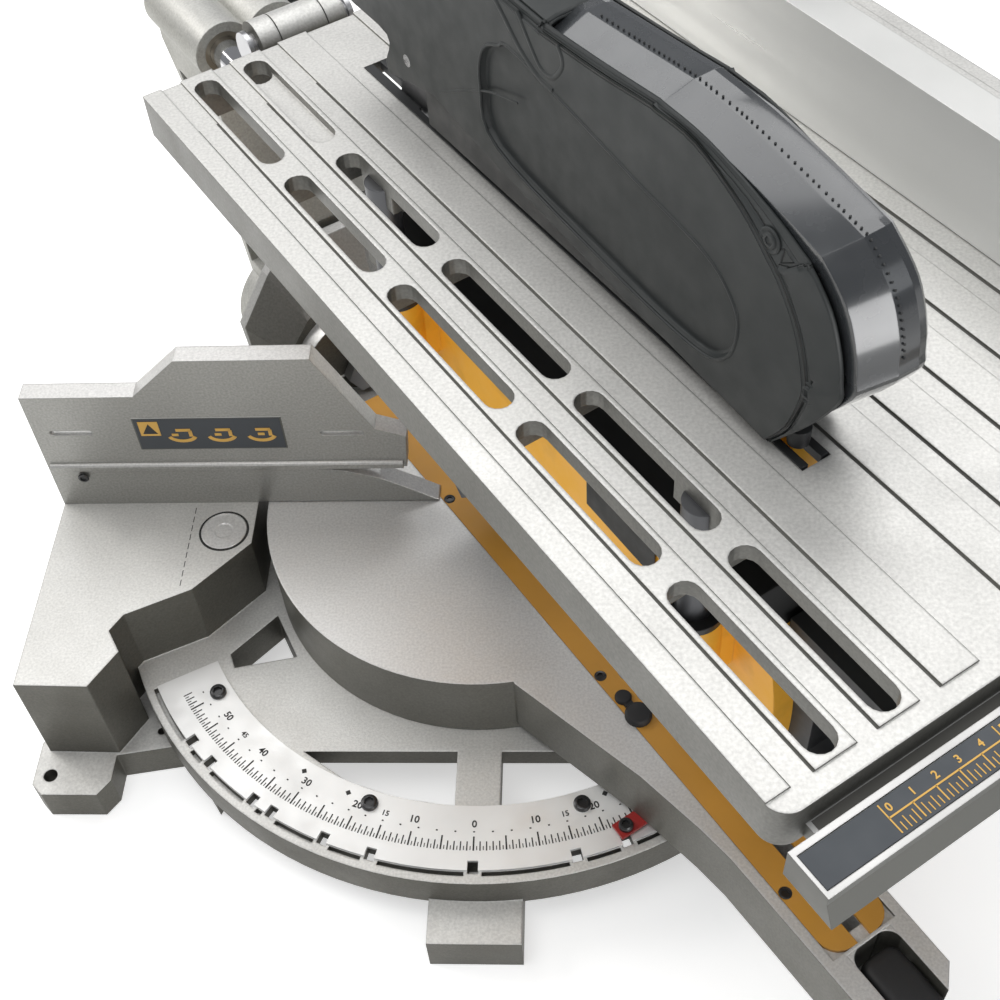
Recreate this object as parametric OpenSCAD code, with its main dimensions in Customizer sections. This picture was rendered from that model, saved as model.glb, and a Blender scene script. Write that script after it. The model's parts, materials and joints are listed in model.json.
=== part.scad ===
// Sliding mitre saw with an upper table and blade guard.
// Origin: on the bench, at the turntable axis. X runs along the fence, Y to the rear, Z up.
// Parts on the turntable are drawn in arm coordinates: r to the right, s towards the front, z above the deck.

/* [Base] */
// Height of the machined deck above the bench
deck_h = 100; // [95:1:110]
// Half of the base width over the wings
base_half_w = 266; // [260:1:272]
// Half spacing of the bench bolts along X
bolt_x = 262; // [260:1:264]
// Half spacing of the bench bolts along Y
bolt_y = 152; // [148:1:154]
// Radius of a bench bolt hole
bolt_hole_r = 4.25; // [3.5:0.25:5]
// Outer radius of the mitre ring
ring_r = 232; // [230:1:236]

/* [Turntable] */
// Mitre angle the saw is drawn at
arm_turn = 35.26; // [0:0.01:45]
// Radius of the turntable disc
disc_r = 135; // [130:1:138]
// Distance from the turntable axis to the front end of the arm
arm_len = 387; // [380:1:395]
// Half width of the pair of kerf plates
kerf_half_w = 20; // [19:0.5:21]
// Half width of the blade slot between the kerf plates
kerf_slot = 4.3; // [4.2:0.1:5]

/* [Fences] */
// Height of the fixed fence
fence_low_h = 32.5; // [30:0.5:34]
// Height of the low part of the sliding fence
fence_mid_h = 96.8; // [90:0.1:100]
// Height of the high part of the sliding fence
fence_top_h = 125.3; // [120:0.1:126]
// Thickness of the fences
fence_t = 12; // [10:0.5:12]

/* [Head] */
// Blade radius
blade_r = 152.5; // [150:0.5:152.5]
// Blade thickness at the teeth
blade_t = 2.8; // [2.2:0.1:3]
// Distance of the blade centre in front of the turntable axis
blade_s = 120; // [115:1:125]
// Height of the blade centre above the deck, head down
blade_z = 140; // [139:0.5:141]
// Radius of the slide rails
rail_r = 10; // [9.5:0.25:10]
// Half spacing of the slide rails
rail_half = 17; // [16.5:0.5:18]
// Height of the slide rails above the deck
rail_z = 205; // [204:0.5:206]
// Distance of the head pivot behind the turntable axis
pivot_s = 161; // [160:1:162]
// Height of the head pivot above the deck
pivot_z = 250; // [249:0.5:251]

/* [Upper table] */
// Height of the upper table above the deck
table_z = 280; // [278:0.5:281]
// Left edge of the upper table, measured from the blade
table_left = -107.5; // [-110:0.5:-105]
// Right edge of the upper table, measured from the blade
table_right = 230; // [226:1:234]
// Rear edge of the upper table
table_rear = -112; // [-114:1:-110]
// Front edge of the upper table
table_front = 368; // [366:1:370]
// Thickness of the table plate below its raised strips
plate_t = 7; // [6:0.5:8]
// Depth of the table skirt below the table top
skirt_h = 23; // [20:1:24]
// Spacing of the raised strips
strip_pitch = 27.3; // [27:0.1:27.5]
// Rip fence face, measured from the blade
rip_r = 132.4; // [100:0.1:150]

/* [Hidden] */
$fn = 64;

run_gap = 0.04;      // radial gap of a shaft that turns or slides in its bore
eps = 0.5;           // overshoot of a cutting shape
deck_gap = 0.7;      // gap of the fences over the turntable
pan_top = -50;       // top of the base pan and mitre ring
pan_bottom = -75;    // underside of the pan, top of the feet
scale_t = 2;         // thickness of the mitre scale
scale_in = 185.5;    // inner radius of the mitre scale
scale_out = 224.7;   // outer radius of the mitre scale
scale_end = 62;      // half angle of the mitre scale
detents = [-50, -45, -35.26, -31.62, -22.5, -15, 0, 15, 22.5, 31.62, 35.26, 45, 50];
arm_floor = -44;     // underside of the arm
table_under = table_z - skirt_h;
plate_under = table_z - 1.2 - plate_t;
motor_s = 175;       // motor shaft in front of the turntable axis
motor_z = 174;       // motor shaft above the deck
motor_r = 42;        // outer radius of the motor housing
housing_r = 166;     // outer radius of the blade housing
housing_wall = 5.5;  // thickness of the blade housing rim
housing_top = 218;   // top of the blade housing, under the lowered table
post_r = 8;          // radius of a table post
post_at = [for (side = [-1, 1], s = [8, 247]) [side * 42, s]];
arbor_pulley_r = 26;
motor_pulley_r = 15;
trunnion_r = 46;     // radius of the bevel joint
guard_tilt_s = -8;   // pivot of the upper guard on the riving knife
guard_tilt_z = 316;
guard_right = 23;    // right face of the upper guard; its left face is 13 mm from the blade

// ---- helpers -------------------------------------------------------------------------------

module on_deck() translate([0, 0, deck_h]) children();
module on_arm() translate([0, 0, deck_h]) rotate([0, 0, arm_turn]) children();

// box between two corners given in arm coordinates
module block(r0, r1, s0, s1, z0, z1) translate([r0, -s1, z0]) cube([r1 - r0, s1 - s0, z1 - z0]);

// round bars along r, s and z
module bar_r(s, z, r0, r1, rad) translate([r0, -s, z]) rotate([0, 90, 0]) cylinder(h = r1 - r0, r = rad);
module bar_s(r, z, s0, s1, rad) translate([r, -s0, z]) rotate([90, 0, 0]) cylinder(h = s1 - s0, r = rad);
module bar_z(r, s, z0, z1, rad) translate([r, -s, z0]) cylinder(h = z1 - z0, r = rad);

// an outline in (s, z), drawn out across the saw from r0 to r1
module across(r0, r1) translate([r0, 0, 0]) rotate([90, 0, 90]) linear_extrude(r1 - r0) mirror([1, 0]) children();

// an outline in (x, z), drawn out to the rear from y0 to y1
module to_rear(y0, y1) translate([0, y1, 0]) rotate([90, 0, 0]) linear_extrude(y1 - y0) children();

// an outline in (r, z), drawn out to the front from s0 to s1
module to_front(s0, s1) translate([0, -s0, 0]) rotate([90, 0, 0]) linear_extrude(s1 - s0) children();

// flat bar outline with round ends, centred, along its first axis
function stadium(len, wid) = let (a = len / 2 - wid / 2, n = 8) concat(
    [for (i = [0:n]) [a, 0] + wid / 2 * [cos(i * 180 / n - 90), sin(i * 180 / n - 90)]],
    [for (i = [0:n]) [-a, 0] + wid / 2 * [cos(i * 180 / n + 90), sin(i * 180 / n + 90)]]);

// wedge of a circle between two angles counted from +s towards +z
function wedge(a0, a1, rad) = concat([[0, 0]],
    [for (i = [0:6]) let (a = a0 + (a1 - a0) * i / 6) rad * [cos(a), sin(a)]]);

// ribbed round knob on an axis along +z
module knob(rad, h, lobes) {
    cylinder(h = h, r = rad);
    for (i = [0:lobes - 1]) rotate([0, 0, i * 360 / lobes]) translate([rad, 0, 0]) cylinder(h = h, r = rad / 4);
}

// ---- base ----------------------------------------------------------------------------------

wing = [
    [-base_half_w, -135], [-222.5, -136], [-208.7, -112], [-217.5, -97.3], [-211, -85.9],
    [-172.9, -67.4], [-141.5, -32.4], [-141.5, 40], [-base_half_w, 40]];
wing_pocket = [[-258, -127], [-232, -127], [-224, -84], [-180, -60], [-152, -30], [-152, 32], [-258, 32]];
windows = [
    [[-103, -149.5], [-12, -149.5], [-12, -184.7], [-45, -179.5], [-75, -169.2]],
    [[14, -149.5], [103, -149.5], [75, -169.2], [45, -179.5], [14, -184.7]]];
side_window = [[-131, -52], [-157, -81], [-153, -91], [-115, -83]];

module both_sides() {
    children();
    mirror([1, 0, 0]) children();
}

module base_casting() color("silver") on_deck() difference() {
    union() {
        both_sides() translate([0, 0, -deck_h]) linear_extrude(deck_h) polygon(wing);
        intersection() {
            translate([0, 0, pan_bottom]) cylinder(h = pan_top - pan_bottom, r = ring_r, $fn = 128);
            translate([-ring_r - 1, -ring_r - 1, pan_bottom - 1]) cube([2 * ring_r + 2, ring_r + 41, 30]);
        }
        // feet: two tabs and a block at the front, legs and a cross bar at the rear
        both_sides() translate([0, 0, -deck_h]) linear_extrude(25)
            polygon([[-272, -130], [-272, -158], [-265, -165], [-231, -165], [-224, -155], [-224, -138],
                     [-184, -131], [-160, -165], [-140, -120], [-215, -80], [-250, -80]]);
        translate([-26, -257, -deck_h]) cube([53, 40, 28]);
        both_sides() translate([-272, 30, -deck_h]) cube([36, 136, 20]);
        translate([-272, 140, -deck_h]) cube([544, 26, 20]);
    }
    both_sides() translate([0, 0, -deck_h - eps]) linear_extrude(deck_h - 8 + eps) polygon(wing_pocket);
    // room for the turntable, its hub and the hollow underside of pan and ring
    translate([0, 0, pan_top]) cylinder(h = 60, r = disc_r + 5, $fn = 128);
    translate([0, 0, -deck_h - eps]) cylinder(h = 44, r = 128, $fn = 96);
    translate([0, 0, -deck_h - eps]) difference() {
        cylinder(h = 44, r = 227, $fn = 128);
        translate([0, 0, -eps]) cylinder(h = 45, r = 190, $fn = 96);
        translate([-280, -110, -eps]) cube([560, 400, 45]);
        translate([-32, -262, -eps]) cube([65, 100, 45]);
    }
    for (a = detents) rotate([0, 0, a]) translate([-3, -scale_out - 1, pan_top - 12]) cube([6, 6.7, 13]);
    translate([0, 0, pan_top - 5]) difference() {
        cylinder(h = 6, r = scale_out + 2.6, $fn = 128);
        translate([0, 0, -1]) cylinder(h = 8, r = scale_out + 0.2, $fn = 128);
        translate([0, 0, -1]) linear_extrude(8)
            polygon([ring_at(scale_end, 20), ring_at(scale_end, 300), [300, 300], [-300, 300],
                     ring_at(-scale_end, 300), ring_at(-scale_end, 20)]);
        for (a = detents) rotate([0, 0, a]) translate([-5, -scale_out - 9, -1]) cube([10, 20, 8]);
    }
    for (w = windows) translate([0, 0, pan_bottom - 30]) linear_extrude(60) polygon(w);
    // the pan is thinner round the windows
    both_sides() translate([0, 0, -deck_h - eps]) linear_extrude(37)
        polygon([[9, -140], [108, -140], [108, -153], [79, -175], [47, -186], [9, -190]]);
    both_sides() translate([0, 0, pan_bottom - 30]) linear_extrude(60) polygon(side_window);
    translate([0, 0, pan_bottom - eps]) cylinder(h = 30, r = 8);
    for (sx = [-1, 1], sy = [-1, 1])
        translate([sx * bolt_x, sy * bolt_y, -deck_h - eps]) cylinder(h = 26, r = bolt_hole_r);
    both_sides() translate([-199, -121, pan_bottom - 10]) cylinder(h = 11, r = 2.5);
}

// a point on the mitre ring at an angle from straight ahead
function ring_at(a, rad) = [rad * sin(a), -rad * cos(a)];

module miter_scale() color("gainsboro") on_deck() translate([0, 0, pan_top]) difference() {
    cylinder(h = scale_t, r = scale_out, $fn = 128);
    translate([0, 0, -1]) cylinder(h = scale_t + 2, r = scale_in, $fn = 96);
    translate([0, 0, -1]) linear_extrude(scale_t + 2)
        polygon([ring_at(scale_end, 20), ring_at(scale_end, 300), [300, 300], [-300, 300],
                 ring_at(-scale_end, 300), ring_at(-scale_end, 20)]);
    for (a = detents) rotate([0, 0, a]) translate([-3, -scale_out - 1, -1]) cube([6, 6.7, scale_t + 2]);
}

module miter_scale_screws() color("dimgray") on_deck()
    for (a = [-55.4, -18.2, 18.2, 55.4])
        translate([ring_at(a, 194)[0], ring_at(a, 194)[1], pan_top + scale_t]) cylinder(h = 3, r = 5);

lower_fence = [
    [-base_half_w, 0], [-142, 0], [-142, deck_gap], [-27, deck_gap], [-40, 9], [-62, 22], [-84, 29.5],
    [-108, fence_low_h], [-base_half_w, fence_low_h]];

module fence_foot() difference() {
    translate([-base_half_w, fence_t, 0]) cube([118, 16, 9]);
    for (x = [-245, -165]) translate([x, fence_t + 8, -1]) cylinder(h = 12, r = 4.5);
}

module fixed_fence_left() color("silver") on_deck() {
    // fence with a groove that guides the sliding fence
    difference() {
        to_rear(0, fence_t) polygon(lower_fence);
        translate([-base_half_w - 1, 3.5, fence_low_h - 5.5]) cube([base_half_w - 107, 5, 7]);
    }
    fence_foot();
    // lug behind the sliding fence for its clamp screw
    difference() {
        translate([-157, fence_t + 1, deck_gap]) cube([27, 14, 60]);
        translate([-145, fence_t, 48]) rotate([-90, 0, 0]) cylinder(h = 20, r = 4 + run_gap);
    }
    translate([-157, fence_t - 1, deck_gap]) cube([27, 3, 25]);
}

module fixed_fence_right() color("silver") on_deck() mirror([1, 0, 0]) {
    to_rear(0, fence_t) polygon(lower_fence);
    to_rear(0, fence_t) polygon([[-base_half_w, fence_low_h - 1], [-base_half_w, fence_mid_h - 8],
        [-base_half_w + 8, fence_mid_h], [-120, fence_mid_h], [-100, fence_low_h + 14], [-100, fence_low_h - 1]]);
    fence_foot();
}

module fence_bolts() color("dimgray") on_deck()
    for (side = [-1, 1], x = [245, 165]) translate([side * x, fence_t + 8, 9]) difference() {
        cylinder(h = 6, r = 6.5);
        translate([0, 0, 3]) cylinder(h = 4, r = 3.4, $fn = 6);
    }

module turntable_pivot_bolt() color("dimgray") on_deck() {
    translate([0, 0, -57]) cylinder(h = 18, r = 8 - run_gap);
    translate([0, 0, -62.5]) cylinder(h = 6, r = 14, $fn = 6);
}

module sliding_fence() color("silver") on_deck() difference() {
    union() {
    translate([-250, 4, fence_low_h - 4.5]) cube([140, 4, 6]);
    to_rear(0, fence_t) polygon([
        [-base_half_w, fence_low_h + deck_gap], [-base_half_w, fence_mid_h], [-198, fence_mid_h],
        [-168, fence_top_h], [-90, fence_top_h], [-60, 67], [-42, 60], [-44, fence_low_h + deck_gap]]);
    }
    // hollow back and two slots
    to_rear(5, fence_t + 1) polygon([
        [-258, 44], [-258, 89], [-196, 89], [-164, 118], [-96, 118], [-70, 66], [-56, 56], [-56, 44]]);
    for (at = [[-243, 66.5], [-80, 63.6]]) translate([at[0], -1, at[1]]) rotate([-90, 0, 0]) linear_extrude(8)
        polygon(stadium(26, 4));
}

module fence_lock_knob() color("dimgray") on_deck() translate([-145, 0, 48]) rotate([-90, 0, 0]) {
    translate([0, 0, fence_t + 0.5]) cylinder(h = 18, r = 4);
    translate([0, 0, fence_t + 16]) knob(11, 14, 5);
}

// ---- turntable -----------------------------------------------------------------------------

// outline of the arm in (r, -s), right half from the disc to the front
arm_side = [[58.6, 120], [58.6, 123.7], [36.2, 211], [29.3, 253.5], [27, 275], [25.5, arm_len - 10], [15, arm_len]];
arm_outline = concat([for (p = arm_side) [p[0], -p[1]]],
    [for (i = [len(arm_side) - 1:-1:0]) [-arm_side[i][0], -arm_side[i][1]]]);
arm_hollow = [[40, -130], [26, -211], [20, -275], [19, -335], [-19, -335], [-20, -275], [-26, -211], [-40, -130]];

bevel_housing = [
    [-61, 14], [-63, 40], [-51, 49], [-40, 73], [-30, 84], [30, 84], [40, 73], [51, 49], [63, 40], [61, 14],
    [48, -30], [-48, -30]];

module turntable_casting() color("silver") on_arm() {
    turntable_body();
    bar_r(361, -15, -20, 21, 3);
}

module turntable_body() difference() {
    union() {
        translate([0, 0, pan_top + 0.5]) cylinder(h = -pan_top - 0.5, r = disc_r, $fn = 128);
        translate([0, 0, arm_floor]) linear_extrude(-arm_floor) polygon(arm_outline);
        block(-34, 34, -160, -120, -trunnion_r, -2);
        bar_s(0, 0, -198, -150, trunnion_r);
        hull() {
            to_front(-194.5, -187) polygon(bevel_housing);
            to_front(-163, -162) polygon([for (p = bevel_housing) [p[0] * 0.72, min(p[1] * 0.62, 50)]]);
        }
    }
    // hollow underside, closed floor, hollow above the floor
    difference() {
        translate([0, 0, pan_top - eps]) cylinder(h = 10, r = 124, $fn = 96);
        translate([0, 0, pan_top - 1]) cylinder(h = 12, r = 22);
    }
    translate([0, 0, -34]) cylinder(h = 22, r = 124, $fn = 96);
    translate([0, 0, -38]) linear_extrude(30) polygon(arm_hollow);
    translate([0, 0, pan_top]) cylinder(h = 17, r = 8);
    // trench for the blade, seat for the kerf plates, opening at the front for the lock handle
    block(-14, 14, -112, 338, -33.5, 1);
    block(-kerf_half_w - 0.2, kerf_half_w + 0.2, -118, 345, -2, 1);
    block(-13, 15, 347, arm_len + 1, -34, 1);
    // bevel pivot, and room behind it
    bar_s(0, 0, -200, -140, 10);
    bar_s(0, 0, -148, -110, 19);
    // slot for the detent latch, holes for the kerf plate screws
    block(-2.8, 2.8, 230, 244, arm_floor - 1, arm_floor + 7);
    for (side = [-1, 1], s = kerf_screws) bar_z(side * 16.3, s, -6, 1, 2.2);
}

kerf_screws = [-13, 147, 305];
kerf_half = [for (side = [0:5]) let (a = 90 * side / 5) [kerf_half_w - 12, 333] + 12 * [cos(a), sin(a)]];

module kerf_plates() color("orange") on_arm() difference() {
    for (side = [-1, 1]) translate([0, 0, -2]) linear_extrude(2) polygon(concat(
        [[side * kerf_slot, 117.6], [side * kerf_half_w, 117.6]],
        [for (p = kerf_half) [side * p[0], -p[1]]], [[side * kerf_slot, -345]]));
    for (side = [-1, 1], s = kerf_screws) {
        bar_z(side * 16.3, s, -3, 1, 2.2);
        bar_z(side * 16.3, s, -1, 1, 3.5);
    }
}

module kerf_plate_screws() color("dimgray") on_arm()
    for (side = [-1, 1], s = kerf_screws) {
        bar_z(side * 16.3, s, -5, -0.9, 2.2);
        bar_z(side * 16.3, s, -1, 0.3, 3.5);
    }

module miter_pointer() color("red") on_arm() difference() {
    across(-52, -30) polygon([[207, arm_floor], [207, arm_floor - 2], [217, arm_floor - 2], [217, arm_floor]]);
    bar_z(-46, 212, arm_floor - 3, arm_floor + 1, 1.6);
}

module bevel_scale() color("gainsboro") on_arm() intersection() {
    difference() {
        bar_s(0, 0, -197.5, -194.5, 60);
        bar_s(0, 0, -199, -193, trunnion_r);
    }
    block(-62, 62, -200, -190, 8, 62);
}

module bevel_pivot_bolt() color("dimgray") on_arm() {
    bar_s(0, 0, -266, -147, 10 - run_gap);
    translate([0, 148, 0]) rotate([90, 0, 0]) cylinder(h = 8, r = 16, $fn = 6);
}

// plunger under the arm that drops into the notches of the mitre scale
module detent_latch() color("dimgray") on_arm() {
    block(-2.4, 2.4, 226.2, 242, pan_top + 0.4, pan_top + 3.4);
    block(-2.4, 2.4, 238, 242, pan_top - 20, arm_floor + 6.6);
    block(-7, 7, 236, 244, arm_floor + 6.4, arm_floor + 9);
    block(-10, 10, 238, 246, pan_top - 21.4, pan_top - 12);
}

module miter_lock_handle() color("dimgray") on_arm() difference() {
    across(-11.5, 13.5) polygon([[352, -6], [360, -2.5], [384, -3], [420, -12], [432, -24], [428, -36], [414, -36],
        [388, -28], [362, -27], [352, -20]]);
    bar_r(361, -15, -20, 20, 3 + run_gap);
}

// ---- bevel arm and slide -------------------------------------------------------------------

bevel_profile = [
    [-200, -20], [-200, 86], [-226, 140], [-235, 176], [-235, 205], [-310, 205], [-310, 182], [-286, 150],
    [-254, 70], [-242, 30], [-242, -20]];
bevel_relief = [[-208, 44], [-208, 84], [-232, 138], [-242, 168], [-292, 168], [-278, 146], [-246, 68], [-240, 44]];

module bevel_arm() color("silver") on_arm() difference() {
    union() {
        bar_s(0, 0, -242, -198.4, trunnion_r);
        across(-30, 30) polygon(bevel_profile);
        for (side = [-1, 1]) bar_s(side * rail_half, rail_z, -310, -235, 19);
        block(-27, 27, -310, -239, rail_z - 21, rail_z);
    }
    for (side = [-1, 1]) {
        across(side > 0 ? 9 : -31, side > 0 ? 31 : -9) polygon(bevel_relief);
        bar_s(side * rail_half, rail_z, -312, -233, rail_r + 1);
        bar_s(side * rail_half, rail_z, -255, -234, rail_r + 3);
        bar_s(side * rail_half, rail_z, -311, -290, rail_r + 3);
    }
    bar_s(0, 0, -245, -195, 10);
    bar_r(-272, rail_z, rail_half + 6, 50, 4 + run_gap);
}

module rail_bushings() color("goldenrod") on_arm()
    for (side = [-1, 1], s = [-255, -310]) difference() {
        bar_s(side * rail_half, rail_z, s, s + 20, rail_r + 3);
        bar_s(side * rail_half, rail_z, s - 1, s + 21, rail_r + run_gap);
    }

module bevel_clamp_lever() color("dimgray") on_arm() difference() {
    union() {
        bar_s(0, 0, -262, -243, 17);
        translate([0, 252, 0]) rotate([90, 0, 0]) linear_extrude(9)
            polygon([[0, 9], [0, -9], [70, -16], [84, -10], [82, 4], [70, 4]]);
    }
    bar_s(0, 0, -263, -242, 10);
}

module rail_lock_knob() color("dimgray") on_arm() {
    bar_r(-272, rail_z, rail_half + rail_r + 1.2, 50, 4);
    translate([39, 272, rail_z]) rotate([0, 90, 0]) knob(12, 16, 5);
}

module slide_rails() color("white") on_arm()
    for (side = [-1, 1]) difference() {
        bar_s(side * rail_half, rail_z, -486, -152, rail_r);
        bar_s(side * rail_half, rail_z, -487, -151, rail_r - 3);
    }

module head_yoke() color("silver") on_arm() difference() {
    union() {
        block(-32, 32, -172, -150, 190, 222);
        for (side = [-1, 1]) {
            block(side > 0 ? 14.6 : -26, side > 0 ? 26 : -14.6, -172, -150, 220, pivot_z);
            bar_r(-pivot_s, pivot_z, side > 0 ? 14.6 : -26, side > 0 ? 26 : -14.6, 14);
        }
    }
    for (side = [-1, 1]) bar_s(side * rail_half, rail_z, -173, -152, rail_r);
    bar_r(-pivot_s, pivot_z, -50, 50, 8);
    bar_r(-pivot_s, 229, -50, -14, 4 + run_gap);
    block(-14.6, 14.6, -173, -149, 217, pivot_z + 15);
}

module rail_end_cap() color("dimgray") on_arm() difference() {
    block(-32, 32, -494, -476, 190, 220);
    for (side = [-1, 1]) bar_s(side * rail_half, rail_z, -486, -475, rail_r);
}

module head_pivot_pin() color("gray") on_arm() {
    bar_r(-pivot_s, pivot_z, -29, 29, 8);
    for (r = [-32, 29]) bar_r(-pivot_s, pivot_z, r, r + 3, 10);
}

module head_lock_pin() color("dimgray") on_arm() {
    bar_r(-pivot_s, 229, -48, -19.4, 4);
    bar_r(-pivot_s, 229, -56, -44, 9);
}

// ---- head ----------------------------------------------------------------------------------

module head_arm() color("silver") on_arm() difference() {
    union() {
        across(-14, 14) polygon([
            [-174, 244], [-150, 252], [-141, 222], [-124, housing_top], [-30, housing_top], [-30, 198],
            [-128, 198], [-146, 204], [-148, 219.5], [-168, 223]]);
        bar_r(-pivot_s, pivot_z, -14, 14, 14);
        block(-26, 22, -54, -24, 172, housing_top);
    }
    bar_r(blade_s, blade_z, -27, 23, housing_r);
    bar_r(-pivot_s, pivot_z, -20, 20, 8 + run_gap);
    // slot that holds the riving knife, hole for the lock pin
    block(-1.2, 1.2, -52, -16, 182, housing_top + 1);
    bar_r(-pivot_s, 229, -15, -6, 4.5);
}

module blade_housing() color("gold") on_arm() difference() {
    union() {
        difference() {
            bar_r(blade_s, blade_z, -26, 22, housing_r, $fn = 128);
            bar_r(blade_s, blade_z, -22.5, 18.5, housing_r - housing_wall, $fn = 128);
            block(-30, 30, -60, 300, housing_top - 4, 320);
        }
        intersection() {
            block(-26, 22, -60, 300, housing_top - 4, housing_top);
            bar_r(blade_s, blade_z, -26, 22, housing_r, $fn = 128);
        }
        bar_r(blade_s, blade_z, 7, 30, 30);
        for (p = post_at) {
            bar_z(p[0], p[1], 160, 204, post_r + 5);
            block(p[0] < 0 ? p[0] : 20, p[0] < 0 ? -24 : p[0], p[1] - 10, p[1] + 10, 160, 204);
        }
    }
    difference() {
        block(-30, 60, -60, 300, -60, 118);
        bar_r(blade_s, blade_z, 7, 30, 30);
    }
    block(-8, 8, -60, 300, housing_top - 5, housing_top + 1);
    block(-1.2, 1.2, -52, -16, 182, housing_top + 1);
    for (p = post_at) bar_z(p[0], p[1], 158, 206, post_r + run_gap);
    bar_r(blade_s, blade_z, 6, 31, 17.5);
    bar_r(247, 182, -60, -45, 4 + run_gap);
}

module belt_outline(extra) hull() {
    translate([blade_s, blade_z]) circle(r = arbor_pulley_r + extra, $fn = 32);
    translate([motor_s, motor_z]) circle(r = motor_pulley_r + extra, $fn = 32);
}

module belt_cover() color("dimgray") on_arm() difference() {
    across(22, 47) belt_outline(10);
    across(21, 44.5) belt_outline(7);
    bar_r(motor_s, motor_z, 43, 48, 14);
    bar_r(98, 148, 40, 48, 5 + run_gap);
}

module drive_belt() color("black") on_arm() difference() {
    across(32, 42) belt_outline(3.3);
    across(31, 43) belt_outline(0.3);
}

module motor_housing() color("gold") on_arm() difference() {
    bar_r(motor_s, motor_z, 47, 150, motor_r);
    bar_r(motor_s, motor_z, 53, 151, motor_r - 3.5);
    bar_r(motor_s, motor_z, 46, 54, 13);
    for (i = [0:9]) translate([56, -motor_s, motor_z]) rotate([i * 36, 0, 0])
        translate([0, motor_r - 5, -2]) cube([12, 8, 4]);
}

module motor_end_cap() color("dimgray") on_arm() difference() {
    union() {
        bar_r(motor_s, motor_z, 150, 164, motor_r);
        translate([164, -motor_s, motor_z]) rotate([0, 90, 0]) cylinder(h = 8, r1 = motor_r, r2 = motor_r - 8);
        bar_r(motor_s, motor_z, 139, 168, 16.5);
    }
    difference() {
        bar_r(motor_s, motor_z, 149.5, 166, motor_r - 3.5);
        bar_r(motor_s, motor_z, 139, 168, 16.5);
    }
    bar_r(motor_s, motor_z, 138, 148, 13);
    for (i = [-3:3]) block(160, 175, motor_s - 24, motor_s + 24, motor_z + i * 9 - 2, motor_z + i * 9 + 2);
}

module motor_stator() color("peru") on_arm() difference() {
    bar_r(motor_s, motor_z, 72, 120, motor_r - 3.5);
    bar_r(motor_s, motor_z, 71, 121, 26);
}

// ring between two radii, along r
module race(s, z, r0, r1, inner, outer) difference() {
    bar_r(s, z, r0, r1, outer);
    bar_r(s, z, r0 - 1, r1 + 1, inner);
}

module shaft_bearings() color("gray") on_arm() {
    race(blade_s, blade_z, 8, 16, 8 + run_gap, 17.5);
    race(blade_s, blade_z, 21, 29, 8 + run_gap, 17.5);
    race(motor_s, motor_z, 47, 53, 6 + run_gap, 13);
    race(motor_s, motor_z, 139, 148, 6 + run_gap, 13);
}

handle_outer = [[276, 206], [338, 206], [350, 196], [354, 180], [354, 128], [346, 112], [332, 106], [276, 106]];
handle_inner = [[298, 184], [306, 190], [328, 190], [334, 184], [334, 130], [326, 122], [306, 122], [298, 130]];

module handle_half(r0, r1) difference() {
    across(r0, r1) polygon(handle_outer);
    across(r0 - 1, r1 + 1) polygon(handle_inner);
    bar_r(blade_s, blade_z, r0 - 1, r1 + 1, housing_r);
    block(-6.5, 6.5, 330, 344, 146, 180);
    block(-27, 25, 260, 292, 100, 118);
}

module handle_shell_left() color("dimgray") on_arm() difference() {
    handle_half(-15, 0);
    bar_r(341, 194, -16, -6, 4 + run_gap);
}

module handle_shell_right() color("dimgray") on_arm() handle_half(0, 15);

module riving_knife() color("lightgray") on_arm() difference() {
    across(-1.1, 1.1) polygon(concat(
        [[-48, 186], [-34, 186], [-34, 216]],
        [for (a = [151:-7:102]) [blade_s, blade_z] + (blade_r + 6) * [cos(a), sin(a)]],
        [[84, 308], [60, 326], [20, 334], [-16, 330], [-34, 300], [-48, 250]]));
    bar_r(guard_tilt_s, guard_tilt_z, -5, 5, 3 + run_gap);
}

module arbor_shaft() color("gray") on_arm() {
    bar_r(blade_s, blade_z, -6, 43, 8);
    race(blade_s, blade_z, 31.5, 42.5, 7.9, arbor_pulley_r);
}

module saw_blade() color("silver") on_arm() difference() {
    bar_r(blade_s, blade_z, -blade_t / 2, blade_t / 2, blade_r, $fn = 128);
    bar_r(blade_s, blade_z, -3, 3, 15);
}

module blade_flanges() color("gray") on_arm() difference() {
    union() {
        bar_r(blade_s, blade_z, blade_t / 2, 6, 26);
        bar_r(blade_s, blade_z, -blade_t / 2, blade_t / 2, 15);
        bar_r(blade_s, blade_z, -6, -blade_t / 2, 26);
    }
    bar_r(blade_s, blade_z, -7, 7, 8);
}

module arbor_bolt() color("dimgray") on_arm() difference() {
    bar_r(blade_s, blade_z, -13, -6, 11);
    translate([-13.5, -blade_s, blade_z]) rotate([0, 90, 0]) cylinder(h = 4, r = 5, $fn = 6);
}

module motor_armature() color("peru") on_arm() {
    bar_r(motor_s, motor_z, 31, 147, 6);
    race(motor_s, motor_z, 31.5, 42.5, 5.9, motor_pulley_r);
    race(motor_s, motor_z, 72, 118, 5.9, 24.5);
    race(motor_s, motor_z, 122, 134, 5.9, 14);
    race(motor_s, motor_z, 57, 62, 5.9, 34);
}

guard_from = 154;
guard_to = 226;

module guard_sector(r0, r1, inner, outer) intersection() {
    race(blade_s, blade_z, r0, r1, inner, outer, $fn = 96);
    across(r0 - 1, r1 + 1) translate([blade_s, blade_z]) polygon(wedge(guard_from, guard_to, 180));
}

module lower_guard() color("lightslategray") on_arm() {
    guard_sector(-20, 16, 155, 158);
    guard_sector(-20, -17.5, 64, 155.5);
    guard_sector(13.5, 16, 39, 155.5);
    race(blade_s, blade_z, 13.5, 16, 30 + run_gap, 40);
}

module trigger() color("black") on_arm()
    across(-5.8, 5.8) polygon([[327, 148], [331, 178], [338, 178], [338, 148]]);

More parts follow.
